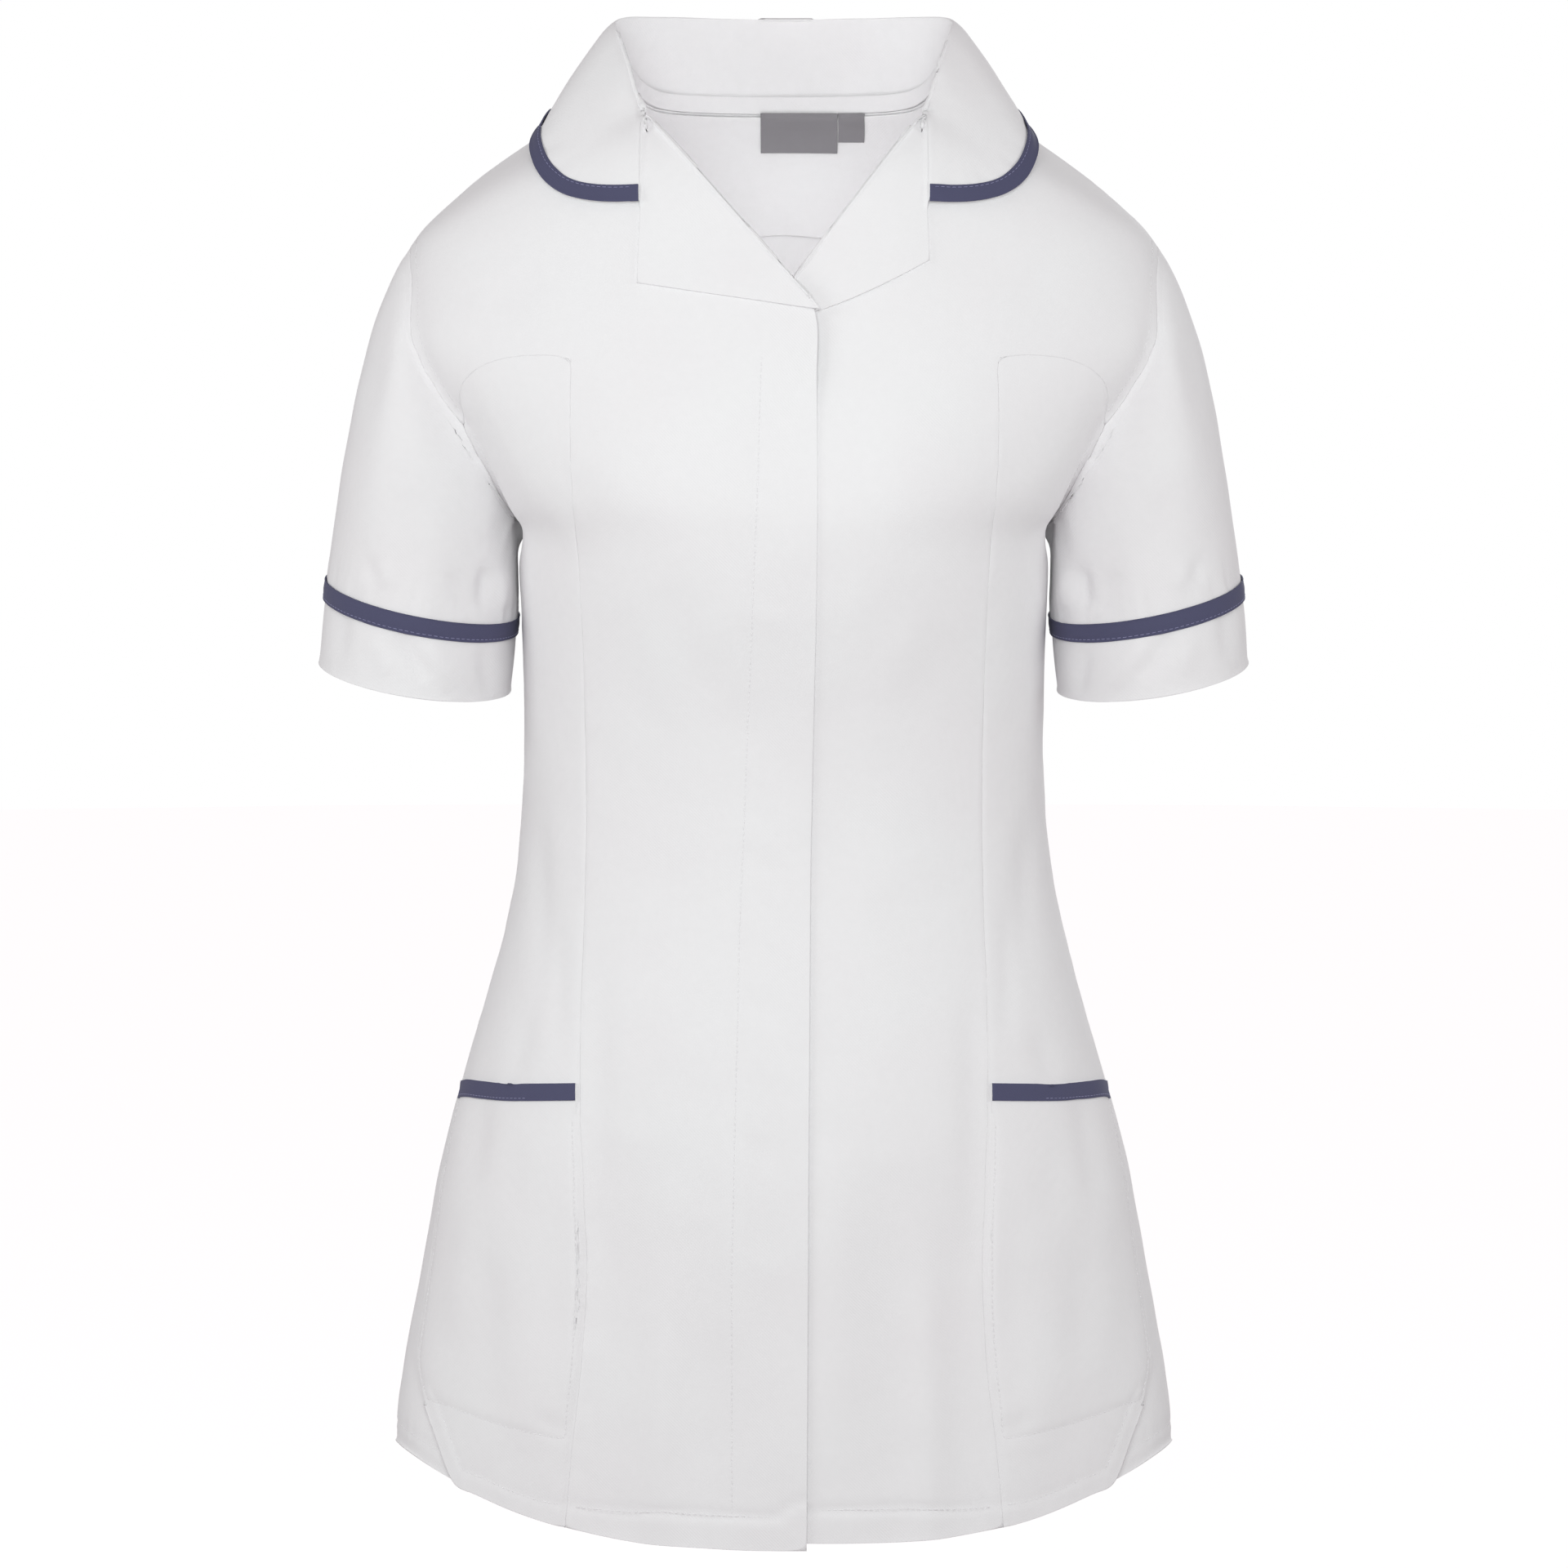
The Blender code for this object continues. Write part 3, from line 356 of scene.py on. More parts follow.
    def near_walls(self, i, reach, names):
        """The CAD walls of the named pieces within reach of a point, each as distance, name and nearest place."""
        return [(gap, owners[face], tuple(place)) for place, _, face, gap in
                all_walls.find_nearest_range(Vector(self.points[i]), reach) if owners[face] in names]

    def runs(self, wanted):
        """Chains of border points for which wanted(point, neighbour) is true."""
        following = {}
        for a, b in self.border:
            if all(wanted(self.points[i], self.sewn_to[i]) for i in (a, b)):
                following[a] = b
        starts = [a for a in following if a not in set(following.values())]
        chains = []
        while following:
            start = next((a for a in starts if a in following), next(iter(following)))
            chain = [start]
            while chain[-1] in following:
                chain.append(following.pop(chain[-1]))
            chains.append(chain)
        return chains

    def edge(self, wanted):
        """For each point: how far it lies from the wanted border, how far along it, and whether it is past its end."""
        places, lengths, ends = [], [], []
        offset = 0.0
        for chain in self.runs(wanted):
            line = self.points[chain]
            step = np.linalg.norm(np.diff(line, axis=0), axis=1)
            at = np.concatenate([[0], np.cumsum(step)])
            samples = np.arange(0, at[-1], EDGE_STEP)
            places.append(np.column_stack([np.interp(samples, at, line[:, k]) for k in range(3)]))
            lengths.append(samples + offset)
            closed = chain[0] == chain[-1]
            past = np.zeros(len(samples), bool)
            past[[0, -1]] = not closed
            ends.append(past)
            # The next chain counts on from a metre further, so that its crinkles are its own.
            offset += at[-1] + 1.0
        if not places:
            return np.full(len(self.points), 1.0), np.zeros(len(self.points)), np.ones(len(self.points), bool)
        places, lengths, ends = np.vstack(places), np.concatenate(lengths), np.concatenate(ends)
        tree = point_tree(places)
        found = [tree.find(p)[1:] for p in self.points]
        nearest = np.array([i for i, _ in found])
        return np.array([d for _, d in found]), lengths[nearest], ends[nearest]

    def draw_to(self, names, reach):
        """Draws the open border toward pieces that it is sewn to but only comes near in the CAD: half way to those
        that are close, and less to those further off."""
        for i in self.sewn_to:
            near = self.near_walls(i, reach, names)
            if near:
                gap, self.sewn_to[i], place = min(near)
                self.points[i] += min(0.5, 1 - gap / reach) * (np.array(place) - self.points[i])

    def drape(self):
        """The low swells of cloth that isn't pulled tight. They run on across the seams."""
        self.relax()
        self.push(0.35 * MM * slack(self.points, 0.1, 7) + 0.12 * MM * slack(self.points, 0.035, 8))

    def lie_on(self, lift, *bases, least=False):
        """Lays this piece at a height above others, or at least so high, except where it reaches past their edges."""
        corners = [Vector(point) for base in bases for point in base.points]
        firsts = np.cumsum([0] + [len(base.points) for base in bases])
        quads = [quad for base, first in zip(bases, firsts) for quad in (base.quads + first).tolist()]
        below = BVHTree.FromPolygons(corners, quads)
        lift = np.broadcast_to(lift, len(self.points))
        for i, point in enumerate(self.points):
            place, out = [np.array(v) for v in below.find_nearest(Vector(point))[:2]]
            height = (point - place) @ out
            aside = np.linalg.norm(point - place - height * out)
            # Past an edge the nearest place lies aside, and behind it the cloth faces another way.
            share = np.clip(1.3 - aside / MM, 0, 1) * np.clip(2 * self.normals[i] @ out, 0, 1)
            rise = max(lift[i] - height, 0) if least else lift[i] - height
            self.points[i] += share * rise * out

    def close_seams(self, reach):
        """Brings the border onto the edges of the pieces already made that it is sewn to, so that no seam gapes."""
        rows = [i for i in self.sewn_to if self.sewn_to[i] in made_edges]
        if rows:
            others = [made_edges[name] for name in set(self.sewn_to.values()) if name in made_edges]
            nearest = [min((other.find(self.points[i]) for other in others), key=lambda hit: hit[2]) for i in rows]
            moves = np.array([place for place, _, _ in nearest]) - self.points[rows]
            close = np.linalg.norm(moves, axis=1) < reach + 1 * MM
            rows, moves = np.array(rows)[close], moves[close]
            tree = point_tree(self.points[rows])
            found = [tree.find(point) for point in self.points]
            nearest = [row for _, row, _ in found]
            fade = np.exp(-(np.array([gap for _, _, gap in found]) / reach) ** 2)
            self.points += moves[nearest] * fade[:, None]
            past = (self.points - self.joined_middle())[rows]
            past /= np.maximum(np.linalg.norm(past, axis=1), 1e-9)[:, None]
            self.points[rows] += SEAM_LAP * past - SEAM_SINK * self.normals[rows]
        start, end = self.points[self.border.T]
        share = np.linspace(0, 1, 8, endpoint=False)[:, None, None]
        made_edges[self.name] = point_tree((start * (1 - share) + end * share).reshape(-1, 3))

    def relax(self, rounds=4):
        """Evens out the last unevenness of the CAD's facets, away from the borders."""
        held = np.zeros(len(self.points), bool)
        held[np.unique(self.border)] = True
        for _ in range(rounds):
            self.points[~held] += 0.5 * (self.joined_middle() - self.points)[~held]
        self.normals = self.read_normals()

    def joined_middle(self):
        """For each point, the middle of the points that it is joined to."""
        a, b = self.edges.T
        size = len(self.points)
        count = np.bincount(a, minlength=size) + np.bincount(b, minlength=size)
        return np.column_stack([(np.bincount(a, self.points[b, axis], size)
                                 + np.bincount(b, self.points[a, axis], size)) / count for axis in range(3)])

    def push(self, height):
        """Moves each point out by its height, along the way that the cloth faces."""
        self.points += self.normals * height[:, None]

    def crease(self, facing, creases):
        """Soft troughs, or ridges where the depth is below 0. Each is (from, to, width, depth) in mm, its ends in x
        and z. They fade toward their ends, and where the cloth turns away from the side that they are seen from."""
        seen = np.clip((self.normals @ np.array(facing, float) - 0.05) / 0.4, 0, 1)
        flat = self.points[:, [0, 2]] / MM
        total = np.zeros(len(flat))
        for start, end, width, depth in creases:
            start, way = np.array(start, float), np.array(end, float) - np.array(start, float)
            share = (flat - start) @ way / (way @ way)
            off = np.linalg.norm(flat - start - np.clip(share, 0, 1)[:, None] * way, axis=1)
            fade = np.sin(math.pi * np.clip(share, 0.02, 0.98)) ** 0.6
            total -= depth * fade * np.exp(-(off / width) ** 2)
        self.push(total * seen * MM)

    def sink_seam(self, distance, depth, width):
        """The cloth dips where it is stitched to the next piece."""
        self.push(-depth * np.exp(-(distance / width) ** 2))

    def pucker(self, distance, along, height, reach, spacing, seed, plain=1.5 * MM):
        """Short crinkles square to an edge or a seam, where the stitching gathers the cloth. They start from a
        plain strip beside it."""
        wave = uneven(along, spacing, seed) + 0.5 * uneven(along, spacing * 0.37, seed + 1)
        held = 1 - np.exp(-(distance / plain) ** 2)
        self.push(height * wave * held * np.exp(-(distance / reach) ** 2))

    def finish(self, material, slot, thickness=CLOTH_THICKNESS, reach=3 * MM):
        """Makes the piece: the cloth's thickness goes on the side that doesn't show."""
        self.close_seams(reach)
        piece = make_piece(self.name + "_cloth", self.points.tolist(), self.quads.tolist(), material)
        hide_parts(self.name)
        if len(self.quads) > MOST_QUADS:
            fewer = piece.modifiers.new("fewer_faces", "DECIMATE")
            fewer.ratio = MOST_QUADS / len(self.quads)
        body = piece.modifiers.new("thickness", "SOLIDIFY")
        body.thickness = thickness
        body.offset = -1.0
        return piece


STITCH = 2.4 * MM
STITCH_GAP = 0.6 * MM
THREAD = 0.3 * MM
STITCH_RISE = 0.1 * MM
LONGEST_STEP = 8 * MM           # a line never jumps further than this between two points of the cloth


def line_at(cloth, distance, ended, offset):
    """The lines on the cloth that keep one distance from an edge, each as places and ways out of the cloth."""
    level = np.where(ended, np.nan, distance - offset)
    q = cloth.quads
    after = np.roll(q, -1, axis=1)
    with np.errstate(invalid="ignore"):
        crossed = (level[q] * level[after] < 0) & (np.abs(level[q] - level[after]) < LONGEST_STEP)
    links = {}
    for row in np.nonzero(crossed.sum(axis=1) == 2)[0]:
        keys = [tuple(sorted((q[row, k], after[row, k]))) for k in np.nonzero(crossed[row])[0]]
        links.setdefault(keys[0], []).append(keys[1])
        links.setdefault(keys[1], []).append(keys[0])
    lines = []
    left = set(links)
    for start in [k for k in links if len(links[k]) == 1] + list(links):
        if start not in left:
            continue
        left.discard(start)
        line = [start]
        while True:
            onward = [k for k in links[line[-1]] if k in left]
            if not onward:
                break
            line.append(onward[0])
            left.discard(onward[0])
        if len(line) < 4:
            continue
        a, b = np.array(line).T
        share = (level[a] / (level[a] - level[b]))[:, None]
        lines.append((cloth.points[a] * (1 - share) + cloth.points[b] * share,
                      cloth.normals[a] * (1 - share) + cloth.normals[b] * share))
    return lines


class Stitching:
    """Lock stitches of one thread, gathered from several seams into one piece."""

    def __init__(self):
        self.points, self.faces = [], []

    def sew(self, cloth, distance, ended, offset, wanted=None):
        """Sews along the lines that keep one distance from an edge, where wanted(place) is true."""
        cloth.normals = cloth.read_normals()
        for places, outs in line_at(cloth, distance, ended, offset):
            at = np.concatenate([[0], np.cumsum(np.linalg.norm(np.diff(places, axis=0), axis=1))])
            for start in np.arange(STITCH_GAP, at[-1] - STITCH, STITCH + STITCH_GAP):
                ends = [np.array([np.interp(s, at, places[:, k]) for k in range(3)])
                        for s in (start, start + STITCH)]
                out = np.array([np.interp(start, at, outs[:, k]) for k in range(3)])
                if wanted is None or wanted(ends[0]):
                    self.one_stitch(ends[0], ends[1], out / np.linalg.norm(out))

    def one_stitch(self, start, end, out):
        """A short length of thread that rises a little between the two holes."""
        way = end - start
        side = np.cross(way, out)
        side /= max(np.linalg.norm(side), 1e-9)
        first = len(self.points)
        self.points.append(start - out * STITCH_RISE)
        for share in (0.2, 0.8):
            middle = start + way * share + out * STITCH_RISE
            self.points += [middle + side * THREAD / 2, middle + out * THREAD / 2,
                            middle - side * THREAD / 2, middle - out * THREAD / 2]
        self.points.append(end - out * STITCH_RISE)
        for k in range(4):
            after = (k + 1) % 4
            self.faces.append((first, first + 1 + k, first + 1 + after))
            self.faces.append((first + 1 + k, first + 5 + k, first + 5 + after, first + 1 + after))
            self.faces.append((first + 5 + k, first + 9, first + 5 + after))

    def finish(self, name, material, slot):
        """Makes the piece."""
        return make_piece(name, [list(point) for point in self.points], self.faces, material)


COLOUR_A, COLOUR_B = 6, 7       # a mix node's two colour sockets
YARN_SHADE = 0.965              # the thinner places between thick yarns are a little darker
PATCH_TINT = "#FCF9FA"          # and so are patches of it about as wide as a hand


def woven_surface(name, colour, thread, lift, roughness, sheen):
    """Matt woven cloth. Threads cross over and under each other in every direction that the cloth can face,
    and thicker yarns here and there break up the evenness."""
    material, tree = new_material(name)
    place = add_node(tree, "ShaderNodeTexCoord", {})
    facing = add_node(tree, "ShaderNodeNewGeometry", {})
    turned = add_node(tree, "ShaderNodeVectorMath", {"operation": "SCALE", "Scale": math.pi / thread},
                      {0: place.outputs["Object"]})
    wave = add_node(tree, "ShaderNodeVectorMath", {"operation": "SINE"}, {0: turned.outputs[0]})
    parts = add_node(tree, "ShaderNodeSeparateXYZ", {}, {0: wave.outputs[0]})
    x, y, z = parts.outputs
    over = add_node(tree, "ShaderNodeCombineXYZ", {}, {0: y, 1: z, 2: x})
    under = add_node(tree, "ShaderNodeCombineXYZ", {}, {0: z, 1: x, 2: y})
    crossing = add_node(tree, "ShaderNodeVectorMath", {"operation": "MULTIPLY"},
                        {0: over.outputs[0], 1: under.outputs[0]})
    side = add_node(tree, "ShaderNodeVectorMath", {"operation": "ABSOLUTE"}, {0: facing.outputs["Normal"]})
    weave = add_node(tree, "ShaderNodeVectorMath", {"operation": "DOT_PRODUCT"},
                     {0: crossing.outputs[0], 1: side.outputs[0]})
    yarns = add_node(tree, "ShaderNodeTexNoise", {"Scale": 0.16 / thread, "Detail": 3.0, "Roughness": 0.6},
                     {"Vector": place.outputs["Object"]})
    height = add_node(tree, "ShaderNodeMath", {"operation": "MULTIPLY_ADD", 1: 0.35},
                      {0: weave.outputs["Value"], 2: yarns.outputs[0]})
    bump = add_node(tree, "ShaderNodeBump", {"Strength": 0.5, "Distance": lift}, {"Height": height.outputs[0]})
    thin = [c * YARN_SHADE for c in linear(colour)[:3]] + [1.0]
    shade = add_node(tree, "ShaderNodeMix", {"data_type": "RGBA", COLOUR_A: thin, COLOUR_B: linear(colour)},
                     {0: yarns.outputs[0]})
    patches = add_node(tree, "ShaderNodeTexNoise", {"Scale": 14.0, "Detail": 2.0},
                       {"Vector": place.outputs["Object"]})
    tinted = add_node(tree, "ShaderNodeMix", {"data_type": "RGBA", "blend_type": "MULTIPLY",
                                              COLOUR_B: linear(PATCH_TINT)},
                      {0: patches.outputs[0], COLOUR_A: shade.outputs[2]})
    surface = add_node(tree, "ShaderNodeBsdfPrincipled",
                       {"Roughness": roughness, "IOR": 1.5, "Specular IOR Level": 0.25,
                        "Sheen Weight": sheen, "Sheen Roughness": 0.5},
                       {"Base Color": tinted.outputs[2], "Normal": bump.outputs["Normal"]})
    add_node(tree, "ShaderNodeOutputMaterial", {}, {"Surface": surface.outputs["BSDF"]})
    return material


# White polyester and cotton, woven plain and finished matt: it scatters light evenly and has no highlight.
# Its threads are 0.35 mm apart, drawn 0.8 mm apart here, because they would be too fine to show.
workwear_cloth = woven_surface("woven_polyester_cotton", "#F6F6F7", thread=0.8 * MM, lift=0.12 * MM,
                               roughness=0.88, sheen=0.06)
# Spun polyester thread: soft twisted yarn with a faint lustre, so its stitches are small light ribs.
white_thread = woven_surface("spun_polyester_thread", "#F7F7F8", thread=0.4 * MM, lift=0.05 * MM,
                             roughness=0.75, sheen=0.1)

FRONT = (0, -1, 0)
BACK = (0, 1, 0)

# Creases as the photograph shows them, each as (from x, z), (to x, z), half width, depth, in mm.
CHEST_CREASES = [
    ((-163, -162), (-146, -197), 4.5, 2.2), ((-158, -150), (-150, -176), 4.0, -1.0),
    ((-150, -118), (-118, -96), 12.0, 1.2), ((-62, -250), (-36, -312), 13.0, 1.2),
    ((-84, -262), (-66, -330), 12.0, 1.0), ((-40, -395), (-66, -452), 15.0, 0.8),
    ((-81, -520), (-86, -760), 22.0, 5.0), ((-40, -560), (-44, -760), 15.0, 3.0),
    ((-62, -600), (-66, -740), 10.0, -2.4), ((-92, -440), (-97, -620), 8.0, 2.2),
    ((-22, -500), (-30, -640), 12.0, -1.8)]
OTHER_CHEST_CREASES = [
    ((161, -158), (147, -192), 5.0, 2.0), ((157, -149), (149, -180), 4.0, -0.8),
    ((147, -121), (116, -98), 13.0, 1.0), ((58, -244), (40, -300), 12.0, 1.0),
    ((80, -270), (61, -326), 13.0, 1.2), ((44, -402), (72, -448), 14.0, 0.8),
    ((50, -530), (60, -760), 18.0, 4.0), ((86, -540), (92, -760), 16.0, 4.0),
    ((72, -590), (76, -740), 10.0, -2.4), ((93, -450), (98, -600), 8.0, 2.2),
    ((24, -520), (27, -680), 13.0, -1.8)]
# The press-stud placket is doubled and pulls a little between its studs.
PLACKET_CREASES = [
    ((-20, -200), (2, -212), 4.0, 0.47), ((-19, -262), (4, -270), 4.5, -0.47),
    ((-22, -382), (0, -396), 4.5, 0.61), ((-19, -418), (6, -432), 4.0, -0.54),
    ((-22, -453), (0, -467), 4.5, 0.61), ((-18, -487), (8, -497), 4.0, -0.47),
    ((-22, -524), (-4, -538), 5.0, 0.61), ((-20, -585), (2, -592), 5.0, -0.41)]


def sewn(*names):
    """Picks the border that is sewn to one of these pieces."""
    return lambda place, neighbour: neighbour in names


HEM_TOP = -520 * MM             # the hem and the vents lie below this height
FRONT_EDGES = 30 * MM           # the fronts' upright edges lie this near the middle, and end at this height
FRONT_FOOT = -722 * MM


def is_hem(place, neighbour):
    """Picks the open border at the bottom of the tunic and round its side vents."""
    upright = abs(place[0]) < FRONT_EDGES and place[2] > FRONT_FOOT
    return neighbour == "" and place[2] < HEM_TOP and not upright


def panel(name, seams, seed):
    """One body panel, with its seams, hem and drape. Beside the sleeves it falls back under the sleeve head."""
    cloth = Cloth(name, away_from_middle, seams)
    cloth.drape()
    seam, along, _ = cloth.edge(sewn(*seams))
    cloth.pucker(seam, along, height=0.2 * MM, reach=9 * MM, spacing=11 * MM, seed=seed + 2)
    cloth.sink_seam(seam, depth=0.3 * MM, width=1.6 * MM)
    armhole, _, past = cloth.edge(sewn("sleeve_left", "sleeve_right"))
    depth = np.interp(cloth.points[:, 2], FOLD_HEIGHTS, FOLD_DEPTHS)
    cloth.push(-depth * np.exp(-(armhole / FOLD_WIDTH) ** 2))
    hem, along, ends = cloth.edge(is_hem)
    shape_hem(cloth, hem, along, seed + 5)
    white_stitching.sew(cloth, hem - hem_depth(cloth), ends, offset=0.0)
    white_stitching.sew(cloth, armhole, past, offset=6 * MM)
    return cloth


# How wide the hem is, at two distances from the middle.
HEM_PLACES = (60 * MM, 125 * MM)
HEM_WIDTHS = (17 * MM, 9.5 * MM)


def hem_depth(cloth):
    """The hem is narrower where it curves up to the side vents."""
    return np.interp(np.abs(cloth.points[:, 0]), HEM_PLACES, HEM_WIDTHS)


def shape_hem(cloth, hem, along, seed):
    """The turned-up hem is double, so it stands out a little, dips at its stitching and crinkles along it,
    most of all where it curves up to the vents."""
    depth = hem_depth(cloth)
    curved = np.interp(np.abs(cloth.points[:, 0]), (70 * MM, 120 * MM), (0.0, 1.0))
    band = np.clip((depth - hem) / (2 * MM), 0, 1)
    groove = np.exp(-((hem - depth) / (2.6 * MM)) ** 2)
    cloth.push((0.3 * band - (0.8 - 0.6 * curved) * groove) * MM)
    still = 1 - np.exp(-(hem / (4 * MM)) ** 2)
    cloth.pucker(np.abs(hem - depth), along, height=(0.12 + 0.16 * curved) * still * MM, reach=9 * MM,
                 spacing=3 * MM, seed=seed, plain=0.1 * MM)


white_stitching = Stitching()
# How far the cloth beside a sleeve falls back under its head, at four heights.
FOLD_HEIGHTS = np.array((-235, -200, -145, -95)) * MM
FOLD_DEPTHS = np.array((5.0, 5.0, 2.6, 0.0)) * MM
FOLD_WIDTH = 12 * MM
# Where the row of stitching beside the lap runs: x at five heights.
PLACKET_HEIGHTS = np.array((-715, -590, -420, -200, -135)) * MM
PLACKET_STITCHING = np.array((-26, -26, -22, -13, -11)) * MM
# How far the under front is pressed up against the lap, at four heights. It hangs free below the waist.
LAP_HEIGHTS = np.array((-360, -240, -160, -145)) * MM
LAP_LIFTS = np.array((0.25, 0.9, 0.9, 0.0)) * MM
LAP_ENDS = np.array((14, 30)) * MM      # and the lift fades out between these

fronts = {}
for side, seed in (("right", 11), ("left", 31)):
    seams = ["side_front_" + side, "back", "sleeve_" + side, "collar"]
    front = fronts[side] = panel("front_" + side, seams, seed)
    front.crease(FRONT, CHEST_CREASES + OTHER_CHEST_CREASES)
    if side == "right":
        front.crease(FRONT, PLACKET_CREASES)
    x, z = front.points[:, 0], front.points[:, 2]
    if side == "right":
        beside = x - np.interp(z, PLACKET_HEIGHTS, PLACKET_STITCHING)
        beyond = (z < PLACKET_HEIGHTS[0]) | (z > PLACKET_HEIGHTS[-1])
        front.push(-0.5 * MM * np.exp(-(beside / (2 * MM)) ** 2) * ~beyond)
        white_stitching.sew(front, beside, beyond, offset=0.0)
    else:
        front.push(np.interp(z, LAP_HEIGHTS, LAP_LIFTS) * np.interp(x, LAP_ENDS, (1.0, 0.0)))
    front_piece = front.finish(workwear_cloth, "white_cloth")


# The side fronts: shaped panels from the armhole to the hem, also white cloth.
# They are joined to the centre fronts by princess seams that give the bust its form.
SIDE_CREASES = [
    ((-124, -366), (-122, -459), 6.0, 1.62), ((-114, -414), (-112, -487), 5.0, 1.08),
    ((-146, -250), (-139, -330), 7.0, 2.03), ((-132, -232), (-126, -290), 6.0, -1.35),
    ((-128, -470), (-138, -505), 6.0, 1.62), ((-150, -500), (-158, -560), 7.0, 1.89)]
OTHER_SIDE_CREASES = [
    ((123, -372), (121, -448), 6.5, 1.62), ((113, -406), (112, -480), 5.0, 1.08),
    ((144, -256), (138, -322), 7.5, 2.03), ((130, -228), (127, -284), 6.0, -1.35),
    ((126, -476), (137, -504), 6.0, 1.35), ((149, -508), (158, -566), 7.0, 1.89)]
# Where a pocket lies on the cloth, both crease together. These are for the wearer's left.
POCKET_CREASES = [
    ((130, -622), (128, -690), 12.0, -1.5), ((147, -590), (149, -652), 9.0, 1.4),
    ((116, -560), (114, -640), 9.0, 1.0), ((108, -676), (124, -668), 5.0, 1.0),
    ((158, -560), (166, -640), 8.0, -1.0), ((136, -530), (134, -575), 8.0, 0.8)]


def on_side(side, creases):
    """Creases given for the wearer's left, or their mirror image for the right."""
    if side == "left":
        return creases
    return [((-a, b), (-c, d), width, depth) for (a, b), (c, d), width, depth in creases]


flanks = {}
for side, seed in (("right", 51), ("left", 71)):
    seams = ["front_" + side, "back", "sleeve_" + side]
    flank = flanks[side] = panel("side_front_" + side, seams, seed)
    flank.crease(FRONT, SIDE_CREASES + OTHER_SIDE_CREASES)
    flank.crease(FRONT, on_side(side, POCKET_CREASES))
    flank_piece = flank.finish(workwear_cloth, "white_cloth")


# The back: one wide piece of the same cloth, from the neck facing to the hem,
# cut narrower at the waist and open at the side vents.
BACK_CREASES = [
    ((-150, -112), (-128, -176), 12.0, 2.7), ((146, -108), (130, -182), 13.0, 2.56),
    ((-30, -120), (-48, -210), 16.0, 1.35), ((34, -132), (50, -214), 15.0, 1.35),
    ((-96, -330), (-30, -372), 9.0, 2.29), ((92, -336), (38, -368), 9.0, 2.03),
    ((-88, -362), (-24, -394), 8.0, -1.62), ((80, -366), (20, -398), 8.0, -1.62),
    ((-104, -392), (-40, -408), 9.0, 2.03), ((100, -388), (46, -412), 9.0, 2.03),
    ((-20, -470), (-34, -716), 18.0, 2.97), ((26, -500), (30, -716), 17.0, 2.7),
    ((-66, -440), (-86, -716), 15.0, 2.7), ((98, -500), (112, -716), 14.0, 2.7),
    ((4, -560), (0, -716), 14.0, -2.03), ((128, -330), (118, -420), 8.0, 1.89), ((-128, -336), (-120, -410), 8.0, 1.89)]
back = panel("back", ["front_left", "front_right", "side_front_left", "side_front_right",
                      "sleeve_left", "sleeve_right", "collar"], 91)
back.crease(BACK, BACK_CREASES)
# The sharp ends of the side vents are pulled in a little, so that the hem turns the corner.
CORNER_RADIUS = 19 * MM
CORNER_PULL = (-4.5 * MM, 0, 1 * MM)
for way in (-1, 1):
    x, z = back.points[:, 0] * way, back.points[:, 2]
    tip = np.argmax(x - z)
    near = np.clip(1 - np.hypot(x - x[tip], z - z[tip]) / CORNER_RADIUS, 0, 1) ** 2
    back.points += near[:, None] * np.array(CORNER_PULL) * (way, 1, 1)
back_piece = back.finish(workwear_cloth, "white_cloth")


# The sleeves: short set-in sleeves of white cloth, with a little ease in the head,
# each ending in a turned-back cuff whose upper edge is covered by slate tape.
SLEEVE_MIDDLE = 187 * MM
SLEEVE_CREASES = [
    ((150, -245), (152, -266), 4.0, 3.38), ((141, -246), (141, -268), 4.0, -2.29),
    ((167, -246), (159, -270), 5.0, 1.89), ((210, -240), (208, -254), 4.0, 1.62),
    ((200, -243), (199, -256), 4.5, -1.35), ((180, -150), (162, -196), 9.0, 1.89),
    ((206, -120), (212, -190), 14.0, 1.08), ((190, -205), (183, -248), 8.0, 1.35)]
CUFF_CREASES = [
    ((195, -277), (179, -303), 5.0, 2.29), ((182, -282), (165, -306), 6.0, -1.89),
    ((153, -286), (149, -312), 4.0, 1.89), ((222, -262), (226, -294), 5.0, 1.62),
    ((206, -280), (200, -300), 5.0, -1.08)]
HIDDEN_SLEEVE_CREASES = [
    ((152, -238), (156, -266), 5.0, 2.97), ((172, -244), (168, -268), 6.0, 1.89),
    ((188, -150), (166, -204), 11.0, 2.29), ((212, -232), (210, -254), 5.0, 1.35)]


def from_arm(side):
    """Out from the middle of a sleeve."""
    middle = SLEEVE_MIDDLE if side == "left" else -SLEEVE_MIDDLE
    return lambda point: Vector((point.x - middle, point.y, 0.0)).normalized()


# Slate blue tape, woven plain and folded over: matt, with a fine even grain.
slate_tape = woven_surface("woven_slate_edging_tape", "#52536F", thread=0.7 * MM, lift=0.14 * MM,
                           roughness=0.8, sheen=0.05)
# Spun thread of a lighter slate, so its stitches show as pale dashes on the tape.
slate_thread = woven_surface("spun_slate_thread", "#9A9AC0", thread=0.4 * MM, lift=0.05 * MM,
                             roughness=0.7, sheen=0.12)
slate_stitching = Stitching()
TAPE_WALL = 1.0 * MM            # the CAD's wall for tapes, facing and labels
TAPE_THICKNESS = 0.7 * MM
TAPE_HALF = 4.2 * MM            # half its width
CUFF_THICKNESS = 1.1 * MM       # two layers of cloth


def everywhere(place, neighbour):
    """Picks the whole border."""
    return True


def below(height):
    """Picks the border below a height."""
    return lambda place, neighbour: place[2] < height


